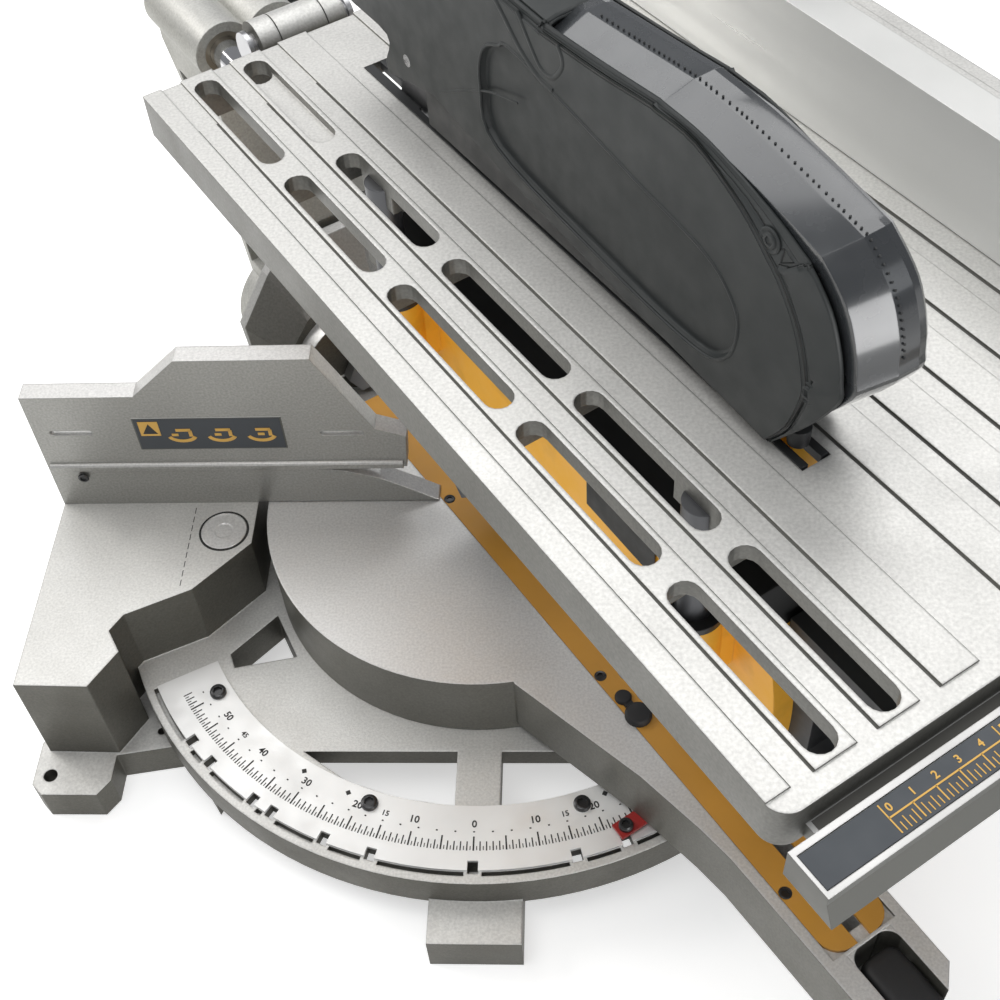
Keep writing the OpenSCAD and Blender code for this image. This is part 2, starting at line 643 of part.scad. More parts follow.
module lock_off_button() color("black") on_arm() bar_r(341, 194, -18.5, -10, 4);

module spindle_lock_button() color("black") on_arm() bar_r(98, 148, 44.8, 53, 5);

// ---- upper table ---------------------------------------------------------------------------

strip_half = 8.7;    // half width of a raised strip
strip_h = 1.2;       // height of a raised strip
strip_end = table_front - 8; // front end of the raised strips
corner_r = 9;        // rounding of the table's front corners
slot_w = 13;
row_a = -78.3;
row_b = row_a + strip_pitch;
slots_a = [[-105, -24], [-10, 70], [83, 170], [181, 265], [276, 358]];
slots_b = [[-105, -90], [-10, 70], [83, 170], [181, 265], [276, 358]];
right_strips = [for (k = [0:7]) 21.2 + strip_pitch * k];

module round_slot(r, ends, z0, z1) translate([r, -(ends[0] + ends[1]) / 2, z0]) rotate([0, 0, 90])
    linear_extrude(z1 - z0) polygon(stadium(ends[1] - ends[0], slot_w));

module upper_table() color("gainsboro") on_arm() difference() {
    union() {
        block(table_left, table_right, table_rear, table_front, plate_under, table_z - strip_h);
        difference() {
            block(table_left, table_right, table_rear, table_front, table_under, plate_under + 1);
            block(table_left + 6, table_right - 6, table_rear + 6, table_front - 6, table_under - 1, plate_under + 2);
        }
        block(table_left, -97.6, table_rear, strip_end, table_z - 2, table_z);
        for (r = [row_a, row_b]) block(r - strip_half, r + strip_half, table_rear, strip_end, table_z - 2, table_z);
        block(-32, -15.5, table_rear, strip_end, table_z - 2, table_z);
        for (r = right_strips) block(r - strip_half, r + strip_half, table_rear, strip_end, table_z - 2, table_z);
        // ribs, and bosses for the posts
        for (s = [-16, 76, 175, 270]) block(table_left + 5, -30, s - 2, s + 2, table_under + 4, plate_under + 1);
        for (s = [-60, 76, 270]) block(60, table_right - 5, s - 2, s + 2, table_under + 4, plate_under + 1);
        for (p = post_at) bar_z(p[0], p[1], table_under + 5, plate_under + 1, 14);
    }
    for (e = slots_a) round_slot(row_a, e, table_under, table_z + 1);
    for (e = slots_b) round_slot(row_b, e, table_under, table_z + 1);
    round_slot(row_b, [-105, -24], table_z - 4, table_z + 1);
    block(-7, 7, -67, 262, plate_under - 1, table_z + 1);
    // rounded front corners
    for (c = [[table_left, 1], [table_right, -1]]) difference() {
        block(min(c[0] - c[1], c[0] + c[1] * corner_r), max(c[0] - c[1], c[0] + c[1] * corner_r),
              table_front - corner_r, table_front + 1, table_under - 1, table_z + 1);
        bar_z(c[0] + c[1] * corner_r, table_front - corner_r, table_under - 2, table_z + 2, corner_r);
    }
    // room for the head arm when the table is down
    block(-24, 24, table_rear - 1, table_rear + 7, table_under - 1, plate_under);
    for (p = post_at) bar_z(p[0], p[1], table_under, plate_under, post_r);
}

module table_posts() color("gray") on_arm()
    for (p = post_at) bar_z(p[0], p[1], 148, plate_under, post_r);

module ruler_rail() color("gainsboro") on_arm() difference() {
    union() {
        block(-110, table_right - 1, 374.5, 393.5, 258, 273);
        block(-96, table_right - 11, table_front, 376, 258, 266);
        across(-110, table_right - 1) polygon([[393, 258], [397.5, 258], [393, 270]]);
    }
    block(-108.5, table_right - 2.5, 377, 391.3, 272, 274);
    block(-104, table_right - 7, 378, 390, 250, 266);
}

module ruler_strip() color("dimgray") on_arm() block(-108.2, table_right - 2.8, 377.4, 390.9, 272, 272.8);

module table_lock_knob() color("dimgray") on_arm() {
    bar_r(247, 182, -72, -51, 4);
    translate([-60, -247, 182]) rotate([0, -90, 0]) knob(11, 14, 5);
}

// ---- upper guard ---------------------------------------------------------------------------

guard_outline = [
    [-30, 298], [-33, 304], [-31, 317], [-70, 319], [-70, 334], [-50, 352], [-24, 364], [-6, 371], [26, 388], [60, 396], [103, 392], [174, 398], [203, 396], [240, 390], [260, 386],
    [272, 378], [281, 367], [286, 353], [286, 340], [248, 284], [236, 284]];
guard_inside = [
    [-50, 290], [-40, 298], [-23, 333], [-3, 367], [27, 384], [60, 392.5], [103, 388.5], [174, 394.5], [202, 392.5],
    [238, 386.5], [258, 382.8], [269.5, 375.5], [277.8, 366], [282.5, 353], [282.5, 341], [246, 288], [240, 270], [-50, 270]];

module guard_plate(r0, r1) difference() {
    across(r0, r1) polygon(concat(guard_outline, [[52, 302]]));
    bar_r(guard_tilt_s, guard_tilt_z, -20, guard_right + 5, 3);
}

module guard_shell_left() color("darkslategray") on_arm() guard_plate(-13, -9.5);
module guard_shell_right() color("darkslategray") on_arm() guard_plate(guard_right - 3.5, guard_right);

module guard_hood() color("darkslategray") on_arm() {
    difference() {
        across(-9.5, guard_right - 3.5) polygon(concat(guard_outline, [[52, 302]]));
        across(-10, guard_right - 3) polygon(guard_inside);
        // room for the riving knife while the guard lifts
        across(-3, 3) polygon([[-80, 290], [-80, 329], [-20, 346], [-20, 290]]);
    }
    // foot that rests on the table
    block(-4, 4, 244, 256, table_z + 0.6, 292);
}

module guard_pivot_pin() color("gray") on_arm() bar_r(guard_tilt_s, guard_tilt_z, -13, guard_right, 3);

// ---- rip fence and switch ------------------------------------------------------------------

module rip_fence_bar() color("gainsboro") on_arm() difference() {
    union() {
        block(rip_r, rip_r + 20, -100, 352, table_z + 0.6, 334.3);
        block(rip_r - 14, rip_r + 40, 346, 412, table_z + 1, 297);
        block(rip_r - 14, rip_r + 40, 399, 412, 250, 282);
        for (r = [-8, 27]) block(rip_r + r, rip_r + r + 5, 411, 430, 256, 276);
        bar_r(422, 265, rip_r - 8, rip_r + 32, 3);
    }
    block(rip_r + 3, rip_r + 17, -101, 345, table_z + 4, 331);
}

module rip_fence_lever() color("dimgray") on_arm() difference() {
    across(rip_r - 2.5, rip_r + 26.5) polygon([
        [415, 270.5], [425, 273], [430, 262], [438, 214], [428, 208], [421, 240], [414.5, 259]]);
    bar_r(422, 265, rip_r - 4, rip_r + 30, 3 + run_gap);
}

module switch_box() color("gold") on_arm() difference() {
    block(148, 200, 330, 392, 216, table_under);
    block(151, 197, 333, 389, 219, 254);
    bar_s(160, 236, 380, 393, 8.3);
    bar_s(184, 236, 380, 393, 10.3);
}

module start_button() color("green") on_arm() bar_s(160, 236, 383, 395, 8);
module stop_button() color("red") on_arm() bar_s(184, 236, 383, 397, 10);

base_casting();
miter_scale();
miter_scale_screws();
fixed_fence_left();
fixed_fence_right();
fence_bolts();
turntable_pivot_bolt();
sliding_fence();
fence_lock_knob();
turntable_casting();
kerf_plates();
kerf_plate_screws();
miter_pointer();
bevel_scale();
bevel_pivot_bolt();
detent_latch();
miter_lock_handle();
bevel_arm();
rail_bushings();
bevel_clamp_lever();
rail_lock_knob();
slide_rails();
head_yoke();
rail_end_cap();
head_pivot_pin();
head_lock_pin();
head_arm();
blade_housing();
belt_cover();
motor_housing();
motor_end_cap();
motor_stator();
shaft_bearings();
drive_belt();
handle_shell_left();
handle_shell_right();
riving_knife();
arbor_shaft();
saw_blade();
blade_flanges();
arbor_bolt();
motor_armature();
lower_guard();
trigger();
lock_off_button();
spindle_lock_button();
upper_table();
table_posts();
ruler_rail();
ruler_strip();
table_lock_knob();
guard_shell_left();
guard_shell_right();
guard_hood();
guard_pivot_pin();
rip_fence_bar();
rip_fence_lever();
switch_box();
start_button();
stop_button();
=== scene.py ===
"""Sliding mitre saw with an upper table: materials, fine pieces, lights and camera around the CAD frame."""
import json
import math

import bmesh
import bpy
from mathutils import Matrix, Vector


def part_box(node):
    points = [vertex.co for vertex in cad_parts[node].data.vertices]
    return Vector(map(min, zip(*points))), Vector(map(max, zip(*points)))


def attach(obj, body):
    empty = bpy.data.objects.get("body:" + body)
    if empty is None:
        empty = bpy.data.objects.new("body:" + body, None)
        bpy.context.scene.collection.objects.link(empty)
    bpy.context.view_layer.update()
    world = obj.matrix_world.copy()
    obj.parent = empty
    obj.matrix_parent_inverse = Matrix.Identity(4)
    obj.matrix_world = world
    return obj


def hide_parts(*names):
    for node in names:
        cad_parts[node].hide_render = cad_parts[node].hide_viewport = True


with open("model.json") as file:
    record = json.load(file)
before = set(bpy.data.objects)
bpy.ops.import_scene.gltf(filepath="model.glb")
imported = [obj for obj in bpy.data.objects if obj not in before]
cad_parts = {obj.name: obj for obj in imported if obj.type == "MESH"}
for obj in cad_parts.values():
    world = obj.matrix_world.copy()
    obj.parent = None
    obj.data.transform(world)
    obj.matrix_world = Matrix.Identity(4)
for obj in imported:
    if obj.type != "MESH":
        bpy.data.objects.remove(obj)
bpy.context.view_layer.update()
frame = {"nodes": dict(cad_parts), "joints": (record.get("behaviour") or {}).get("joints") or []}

MM = 0.001
JOINTS = {joint["name"]: joint for joint in frame["joints"]}
scene = bpy.context.scene

# Arm coordinates, in millimetres: r to the right of the arm, s towards its front, z above the deck.
FORWARD = Vector(JOINTS["rail_slide"]["axis"])
TURN = math.atan2(FORWARD.x, -FORWARD.y)
DECK = JOINTS["mitre_turn"]["pos_m"][2]
ON_DECK = Matrix.Translation((0, 0, DECK))
ON_ARM = ON_DECK @ Matrix.Rotation(TURN, 4, "Z")
TABLE_TOP = (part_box("upper_table")[1].z - DECK) / MM
TABLE_REAR = -71.0
TABLE_FRONT = 369.0
SCALE_TOP = (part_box("miter_scale")[1].z - DECK) / MM
STRIP_TOP = (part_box("ruler_strip")[1].z - DECK) / MM


# ---- materials -----------------------------------------------------------------------------

class Shader:
    """A Principled material and short ways to add nodes to it."""

    def __init__(self, name, color, roughness, metallic=0.0, **sockets):
        self.material = bpy.data.materials.new(name)
        self.material.use_nodes = True
        self.tree = self.material.node_tree
        self.principled = self.tree.nodes["Principled BSDF"]
        self.principled.inputs["Base Color"].default_value = (*color, 1)
        self.principled.inputs["Roughness"].default_value = roughness
        self.principled.inputs["Metallic"].default_value = metallic
        for socket, value in sockets.items():
            self.principled.inputs[socket.replace("_", " ")].default_value = value
        self.coordinates = self.tree.nodes.new("ShaderNodeTexCoord")

    def link(self, source, target):
        self.tree.links.new(source, target)

    def noise(self, scale, detail=4.0, stretch=(1, 1, 1)):
        mapping = self.tree.nodes.new("ShaderNodeMapping")
        mapping.inputs["Scale"].default_value = stretch
        self.link(self.coordinates.outputs["Object"], mapping.inputs["Vector"])
        node = self.tree.nodes.new("ShaderNodeTexNoise")
        node.inputs["Scale"].default_value = scale
        node.inputs["Detail"].default_value = detail
        self.link(mapping.outputs["Vector"], node.inputs["Vector"])
        return node.outputs["Fac"]

    def ranged(self, value, low, high, start=0.3, end=0.7):
        node = self.tree.nodes.new("ShaderNodeMapRange")
        self.link(value, node.inputs["Value"])
        node.inputs["From Min"].default_value = start
        node.inputs["From Max"].default_value = end
        node.inputs["To Min"].default_value = low
        node.inputs["To Max"].default_value = high
        return node.outputs["Result"]

    def mixed(self, factor, first, second):
        node = self.tree.nodes.new("ShaderNodeMix")
        node.data_type = "RGBA"
        self.link(factor, node.inputs["Factor"])
        for socket, value in (("A", first), ("B", second)):
            target = [i for i in node.inputs if i.name == socket and i.type == "RGBA"][0]
            if isinstance(value, tuple):
                target.default_value = (*value, 1)
            else:
                self.link(value, target)
        return [o for o in node.outputs if o.type == "RGBA"][0]

    def bump(self, height, strength, distance):
        node = self.tree.nodes.new("ShaderNodeBump")
        node.inputs["Strength"].default_value = strength
        node.inputs["Distance"].default_value = distance
        self.link(height, node.inputs["Height"])
        previous = self.principled.inputs["Normal"].links
        if previous:
            self.link(previous[0].from_socket, node.inputs["Normal"])
        self.link(node.outputs["Normal"], self.principled.inputs["Normal"])

    def rounded(self, radius):
        """Softens the shading of hard edges over this radius."""
        node = self.tree.nodes.new("ShaderNodeBevel")
        node.samples = 4
        node.inputs["Radius"].default_value = radius
        self.link(node.outputs["Normal"], self.principled.inputs["Normal"])

    def upward(self, start=0.35, end=0.85):
        """0 on vertical faces and undersides, 1 on faces that look up. The metals use it to paint light on
        their tops and shade on their sides.
        """
        node = self.tree.nodes.new("ShaderNodeSeparateXYZ")
        self.link(self.coordinates.outputs["Normal"], node.inputs["Vector"])
        return self.ranged(node.outputs["Z"], 0, 1, start, end)

    def color(self, socket):
        self.link(socket, self.principled.inputs["Base Color"])

    def roughness(self, socket):
        self.link(socket, self.principled.inputs["Roughness"])


def cast_metal(name, side, top, rough=(0.42, 0.6), metallic=0.6, grain=0.35, edge=1.6):
    """Blasted die casting: fine grain and rounded edges, with painted light on the faces that look up and
    painted shade on its sides.
    """
    shader = Shader(name, top, rough[1], metallic)
    shader.rounded(edge * MM)
    speck = shader.ranged(shader.noise(700, 3), 0, 1)
    # painted light and shade: light is the top colour and dark the side colour, each with a fine speckle of
    # grain
    light = shader.mixed(speck, tuple(c * 0.8 for c in top), top)
    dark = shader.mixed(speck, tuple(c * 0.75 for c in side), side)
    shader.color(shader.mixed(shader.upward(), dark, light))
    shader.roughness(shader.ranged(shader.noise(35, 5), *rough))
    shader.bump(shader.noise(1500, 2), grain, 0.25 * MM)
    shader.bump(shader.noise(260, 3), grain * 0.5, 0.35 * MM)
    return shader.material


def ground_metal(name, color, rough, stretch, metallic=0.95, edge=0.5, scratch=0.12, side=None):
    """Machined or brushed metal with fine parallel marks along the short axis of the stretch. A given side
    colour goes on the faces that don't look up: painted shade on the ruler rail, painted light on the rip
    fence bar.
    """
    shader = Shader(name, color, rough, metallic)
    shader.rounded(edge * MM)
    marks = shader.noise(60, 6, stretch)
    top = shader.mixed(shader.ranged(shader.noise(14, 4), 0, 1), tuple(c * 0.86 for c in color), color)
    # painted light and shade: the side colour on faces that don't look up, the top colour on those that do
    shader.color(shader.mixed(shader.upward(), side, top) if side else top)
    shader.roughness(shader.ranged(marks, rough * 0.75, rough * 1.3))
    shader.bump(marks, scratch, 0.08 * MM)
    return shader.material


def plastic(name, color, rough, grain=0.12, coat=0.0, edge=0.6, mottling=0.18, gloss=0.5):
    """Moulded plastic with a fine grain."""
    shader = Shader(name, color, rough, 0.0, Coat_Weight=coat, Coat_Roughness=0.12, Specular_IOR_Level=gloss)
    shader.rounded(edge * MM)
    lighter = tuple(min(1, c * (1 + mottling)) for c in color)
    shader.color(shader.mixed(shader.ranged(shader.noise(22, 4), 0, 1), color, lighter))
    shader.roughness(shader.ranged(shader.noise(90, 4), rough * 0.85, rough * 1.15))
    shader.bump(shader.noise(1300, 2), grain, 0.12 * MM)
    return shader.material


def powder_coat(name, color):
    """Paint with a light orange peel and small dull scuffs."""
    shader = Shader(name, color, 0.38, 0.0, Coat_Weight=0.1, Coat_Roughness=0.3, Specular_IOR_Level=0.3)
    shader.rounded(1.0 * MM)
    scuffed = tuple(c * 0.72 for c in color)
    shader.color(shader.mixed(shader.ranged(shader.noise(48, 7), 0, 1, 0.52, 0.8), color, scuffed))
    shader.roughness(shader.ranged(shader.noise(70, 5), 0.3, 0.55))
    shader.bump(shader.noise(420, 2), 0.2, 0.15 * MM)
    return shader.material


def two_tone(base, name, color, height):
    """A copy of a paint with another colour above a height in the frame: painted shade on the top of the
    part.
    """
    factor, first, second, result = 0, 6, 7, 2    # colour sockets of a Mix node
    material = base.copy()
    material.name = name
    nodes, links = material.node_tree.nodes, material.node_tree.links
    principled = next(node for node in nodes if node.type == "BSDF_PRINCIPLED")
    place = nodes.new("ShaderNodeTexCoord")
    split = nodes.new("ShaderNodeSeparateXYZ")
    above = nodes.new("ShaderNodeMath")
    above.operation = "GREATER_THAN"
    above.inputs[1].default_value = height
    blend = nodes.new("ShaderNodeMix")
    blend.data_type = "RGBA"
    painted = principled.inputs["Base Color"].links[0].from_socket
    links.new(place.outputs["Object"], split.inputs["Vector"])
    links.new(split.outputs["Z"], above.inputs[0])
    links.new(above.outputs[0], blend.inputs[factor])
    links.new(painted, blend.inputs[first])
    blend.inputs[second].default_value = (*color, 1)
    links.new(blend.outputs[result], principled.inputs["Base Color"])
    return material


# painted shade: the blade housing is painted near black above this height, where it lies in shade under the
# upper table
HOUSING_SHADE_HEIGHT = DECK + 0.2005    # the blade housing is dark above this height

# Each casting: painted shade as its side colour and painted light as its top colour.
CAST = cast_metal("cast_aluminium", (0.118, 0.114, 0.097), (0.68, 0.675, 0.65))
REAR_CAST = cast_metal("rear_casting", (0.44, 0.435, 0.40), (0.60, 0.595, 0.565))
TURNTABLE = cast_metal("turntable_aluminium", (0.16, 0.156, 0.135), (0.76, 0.755, 0.74),
                       rough=(0.38, 0.48), metallic=0.5, grain=0.08)
FENCE = cast_metal("fence_aluminium", (0.35, 0.347, 0.325), (0.74, 0.73, 0.71),
                   rough=(0.36, 0.46), metallic=0.65, grain=0.1, edge=1.2)
TABLE = cast_metal("table_aluminium", (0.19, 0.187, 0.17), (0.68, 0.672, 0.645),
                   rough=(0.38, 0.5), metallic=0.5, grain=0.12, edge=1.2)
# painted shade: the dark side colour of the ruler rail
RAIL_METAL = ground_metal("rail_aluminium", (0.62, 0.615, 0.60), 0.4, (0.5, 0.5, 0.5),
                          metallic=0.5, side=(0.11, 0.11, 0.098))
# painted light: the side colour of the rip fence bar, lighter than its top
RIP_METAL = ground_metal("rip_aluminium", (0.72, 0.72, 0.70), 0.36, (0.1, 0.1, 2),
                         metallic=0.6, side=(0.78, 0.785, 0.77))
SCALE_METAL = ground_metal("scale_steel", (0.88, 0.88, 0.865), 0.42, (1, 1, 1),
                           metallic=0.35, edge=0.2, scratch=0.05)
STEEL = ground_metal("ground_steel", (0.52, 0.52, 0.53), 0.3, (1, 1, 0.05))
CHROME = ground_metal("polished_rod", (0.75, 0.75, 0.76), 0.09, (1, 1, 1),
                      metallic=1.0, edge=0.4, scratch=0.02)
DARK_STEEL = ground_metal("blued_steel", (0.11, 0.112, 0.118), 0.38, (1, 1, 0.2))
BLADE_METAL = ground_metal("blade_steel", (0.6, 0.6, 0.61), 0.24, (0.3, 0.3, 3.0))
BLACK_OXIDE = plastic("black_oxide", (0.012, 0.012, 0.013), 0.32, grain=0.05, coat=0.2, edge=0.3)
BLACK = plastic("black_plastic", (0.016, 0.017, 0.018), 0.48)
GRIP = plastic("black_rubber", (0.010, 0.010, 0.011), 0.62, grain=0.3, edge=1.0)
GUARD = plastic("guard_plastic", (0.026, 0.029, 0.029), 0.46, grain=0.10, gloss=0.3)
HOOD = plastic("hood_plastic", (0.030, 0.033, 0.036), 0.26, grain=0.02, coat=0.9)
YELLOW = powder_coat("yellow_paint", (0.93, 0.46, 0.03))
# yellow paint below, painted shade above
HOUSING = two_tone(YELLOW, "housing_paint_and_shade", (0.014, 0.014, 0.014), HOUSING_SHADE_HEIGHT)
YELLOW_PLASTIC = plastic("yellow_plastic", (0.78, 0.43, 0.03), 0.36, grain=0.08)
KERF = plastic("orange_plastic", (0.50, 0.245, 0.035), 0.46, grain=0.1)
RED = plastic("red_plastic", (0.30, 0.014, 0.012), 0.4, grain=0.05)
GREEN = plastic("green_plastic", (0.02, 0.25, 0.05), 0.4, grain=0.05)
BRONZE = ground_metal("bronze", (0.27, 0.24, 0.19), 0.4, (1, 1, 1))
COPPER = ground_metal("copper_winding", (0.55, 0.26, 0.12), 0.4, (1, 1, 8))
IRON = ground_metal("laminated_iron", (0.2, 0.2, 0.21), 0.5, (8, 1, 1))
BELT = plastic("belt_rubber", (0.014, 0.014, 0.014), 0.7, grain=0.2)
GUARD_METAL = plastic("guard_paint", (0.07, 0.078, 0.085), 0.38, grain=0.08, coat=0.1)
LABEL = plastic("dark_label", (0.035, 0.042, 0.050), 0.42, grain=0.03, edge=0.1, mottling=0.05)
# Print, and painted shade in the creases of the guard.
INK = plastic("black_ink_and_shade", (0.015, 0.015, 0.014), 0.6, grain=0.02, edge=0.05)
SHADOW = plastic("groove_shadow", (0.10, 0.098, 0.09), 0.7, grain=0.02, edge=0.05, gloss=0.2)
GOLD_INK = plastic("gold_ink", (0.62, 0.36, 0.07), 0.5, grain=0.02, edge=0.05)

NODE_MATERIALS = {
    CAST: ["base_casting", "head_yoke", "head_arm"],
    REAR_CAST: ["bevel_arm"],
    TURNTABLE: ["turntable_casting"],
    FENCE: ["fixed_fence_left", "fixed_fence_right", "sliding_fence"],
    TABLE: ["upper_table"],
    RAIL_METAL: ["ruler_rail"],
    RIP_METAL: ["rip_fence_bar"],
    SCALE_METAL: ["miter_scale", "bevel_scale"],
    STEEL: ["bevel_pivot_bolt", "detent_latch", "head_pivot_pin", "shaft_bearings",
            "arbor_shaft", "blade_flanges", "guard_pivot_pin"],
    CHROME: ["slide_rails"],
    DARK_STEEL: ["table_posts", "riving_knife"],
    BLADE_METAL: ["saw_blade"],
    BLACK_OXIDE: ["miter_scale_screws", "fence_bolts", "turntable_pivot_bolt", "kerf_plate_screws",
                  "head_lock_pin", "arbor_bolt"],
    BLACK: ["fence_lock_knob", "bevel_clamp_lever", "rail_lock_knob", "rail_end_cap", "belt_cover",
            "motor_end_cap", "handle_shell_left", "handle_shell_right", "trigger", "lock_off_button",
            "spindle_lock_button", "table_lock_knob", "rip_fence_lever"],
    GRIP: ["miter_lock_handle"],
    GUARD: ["guard_shell_left", "guard_shell_right"],
    HOOD: ["guard_hood"],
    HOUSING: ["blade_housing"],
    YELLOW_PLASTIC: ["motor_housing", "switch_box"],
    KERF: ["kerf_plates"],
    RED: ["miter_pointer", "stop_button"],
    GREEN: ["start_button"],
    BRONZE: ["rail_bushings"],
    COPPER: ["motor_armature"],
    IRON: ["motor_stator"],
    BELT: ["drive_belt"],
    GUARD_METAL: ["lower_guard"],
    LABEL: ["ruler_strip"],
}


def dress_nodes():
    """Gives every CAD node its material."""
    for material, names in NODE_MATERIALS.items():
        for name in names:
            slots = frame["nodes"][name].data.materials
            slots.clear()
            slots.append(material)


# ---- building pieces -----------------------------------------------------------------------

FLAT = 0.999    # a face is flat and upright when its normal has this much along x


def piece(name, bm, material, body, place=ON_ARM, smooth=30, facing=0):
    """Makes an object from a mesh drawn in millimetres, puts it in place and lets it ride on a body."""
    mesh = as_mesh(bm, name, facing)
    mesh.transform(Matrix.Scale(MM, 4))
    mesh.materials.append(material)
    item = bpy.data.objects.new(name, mesh)
    scene.collection.objects.link(item)
    item.matrix_world = place
    if smooth:
        mesh.shade_smooth()
        mesh.set_sharp_from_angle(angle=math.radians(smooth))
    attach(item, body)
    return item


def as_mesh(bm, name, facing=0):
    """A mesh with its faces outward; facing is the sign of x that its flat sides look at, if known."""
    bmesh.ops.remove_doubles(bm, verts=bm.verts, dist=1e-4)
    bmesh.ops.recalc_face_normals(bm, faces=bm.faces)
    if facing:
        flat = [face for face in bm.faces if abs(face.normal.x) > FLAT]
        if sum(face.normal.x * facing for face in flat) < 0:
            bmesh.ops.reverse_faces(bm, faces=bm.faces)
        for face in flat:
            if face.normal.x * facing < 0:
                face.normal_flip()
    mesh = bpy.data.meshes.new(name)
    bm.to_mesh(mesh)
    bm.free()
    return mesh


def add_rings(bm, rings, closed=True, cap=(False, False)):
    """Skins a list of rings, each a list of points, with quads."""
    made = [[bm.verts.new(p) for p in ring] for ring in rings]
    count = len(made[0])
    for first, second in zip(made, made[1:]):
        for i in range(count if closed else count - 1):
            j = (i + 1) % count
            bm.faces.new((first[i], first[j], second[j], second[i]))
    if cap[0]:
        bm.faces.new(made[0][::-1])
    if cap[1]:
        bm.faces.new(made[-1])
    return made


def spline(points, steps=6, closed=False):
    """A smooth curve through the points."""
    out = []
    count = len(points)
    spans = count if closed else count - 1
    for i in range(spans):
        if closed:
            four = [points[(i + k) % count] for k in (-1, 0, 1, 2)]
        else:
            four = [points[min(max(i + k, 0), count - 1)] for k in (-1, 0, 1, 2)]
        p0, p1, p2, p3 = (Vector(p) for p in four)
        for step in range(steps):
            t = step / steps
            out.append(0.5 * (2 * p1 + (p2 - p0) * t + (2 * p0 - 5 * p1 + 4 * p2 - p3) * t * t
                              + (3 * p1 - p0 - 3 * p2 + p3) * t ** 3))
    if not closed:
        out.append(Vector(points[-1]))
    return out


def turns(count):
    """The angles that divide a full turn into equal parts."""
    return [2 * math.pi * k / count for k in range(count)]


def circle(place, radius, height, sides=24):
    """Points round the local z axis of a place."""
    return [place @ Vector((radius * math.cos(a), radius * math.sin(a), height)) for a in turns(sides)]


def tube_rings(path, radius, flat=1.0, sides=8, normal=Vector((1, 0, 0))):
    """Rings of a tube along a path; flat squeezes it along the normal."""
    rings = []
    for i, point in enumerate(path):
        along = (path[min(i + 1, len(path) - 1)] - path[max(i - 1, 0)]).normalized()
        side = along.cross(normal).normalized()
        rings.append([point + side * radius * math.cos(a) + normal * radius * flat * math.sin(a)
                      for a in turns(sides)])
    return rings


def add_box(bm, center, size, turn=0.0):
    """A box turned about the vertical through its middle."""
    matrix = Matrix.Translation(center) @ Matrix.Rotation(turn, 4, "Z") @ Matrix.Diagonal((*size, 1))
    bmesh.ops.create_cube(bm, size=1, matrix=matrix)


def lathe(bm, profile, place=Matrix.Identity(4), sides=24):
    """Turns a profile of (radius, height) points about the local z axis."""
    add_rings(bm, [circle(place, radius, height, sides) for radius, height in profile], cap=(True, True))


# Outside of a screw head, as shares of its radius and height, and the share at which its socket ends.
SCREW_PROFILE = [(1, 0), (1, 0.55), (0.93, 0.85), (0.78, 1)]
SOCKET_FLOOR = 0.35


def socket_screw(bm, place, radius, height, socket=0.5):
    """A round screw head with a hexagonal socket, whose size is a share of the head's."""
    rings = [circle(place, radius * wide, height * tall) for wide, tall in SCREW_PROFILE]
    flat_half = math.pi / 6
    for z in (height, height * SOCKET_FLOOR):
        ring = []
        for a in turns(len(rings[0])):
            r = radius * socket / math.cos((a + flat_half) % (2 * flat_half) - flat_half)
            ring.append(place @ Vector((r * math.cos(a), r * math.sin(a), z)))
        rings.append(ring)
    add_rings(bm, rings, cap=(True, True))


def thicken(item, thickness):
    """Gives a skin a wall on its inner side."""
    wall = item.modifiers.new("wall", "SOLIDIFY")
    wall.thickness = thickness * MM
    wall.offset = -1


def soften(item, width=0.2):
    """Puts a small bevel on every edge."""
    edge = item.modifiers.new("edge", "BEVEL")
    edge.width = width * MM


def lettering(name, entries, thickness, material, body, place):
    """Numbers as one piece. An entry is the text, its place as a matrix in millimetres and its height."""
    bm = bmesh.new()
    for text, matrix, height in entries:
        curve = bpy.data.curves.new(name, "FONT")
        curve.body = text
        curve.size = height
        curve.extrude = thickness
        curve.offset = height * 0.02
        curve.resolution_u = 3
        curve.align_x = "CENTER"
        curve.align_y = "CENTER"
        holder = bpy.data.objects.new(name, curve)
        scene.collection.objects.link(holder)
        bpy.context.view_layer.update()
        mesh = bpy.data.meshes.new_from_object(holder)
        mesh.transform(matrix)
        bm.from_mesh(mesh)
        bpy.data.objects.remove(holder)
        bpy.data.curves.remove(curve)
        bpy.data.meshes.remove(mesh)
    return piece(name, bm, material, body, place, smooth=0)


# ---- camera, floor and light ---------------------------------------------------------------

CAMERA_PLACE = Vector((0.0654, -0.5745, 0.6945 + DECK))
CAMERA_PITCH = math.radians(50.277)
CAMERA_YAW = math.radians(-5.436)
CAMERA_ROLL = math.radians(-4.724)
CAMERA_LENS = 52.16
CAMERA_SENSOR = 36

FLOOR_REACH = 15000    # from its middle to its edge, in millimetres
FLOOR_DROP = 0.5       # depth below the feet, in millimetres, so that the two never coincide
FLOOR_GLOW = 0.52

SKY_COLOR = (0.93, 0.95, 1.0, 1)
SKY_STRENGTH = 0.27
WHITE = (1, 1, 1)
# Area lights: name, place, target and size in metres, power in watts, colour.
LIGHTS = [
    ("overhead", (0.1, 0.9, 2.0), (0.05, 0, 0.2), (2.4, 1.2), 24, WHITE),
    ("key", (-1.7, 0.5, 1.5), (0, 0, 0.25), (1.1, 0.8), 17, (1, 0.98, 0.95)),
    ("fill", (1.6, -1.2, 1.4), (0.1, -0.1, 0.2), (1.2, 0.8), 4, (0.94, 0.97, 1)),
    ("front_top", (-0.2, -0.5, 1.7), (0, -0.15, 0.1), (1.2, 0.8), 10, WHITE),
    ("sheen", (0.8, -1.25, 0.6), (0.17, -0.23, 0.45), (0.6, 0.9), 11, WHITE),
]
GLOSS_ONLY = "sheen"    # the light that shows in reflections alone


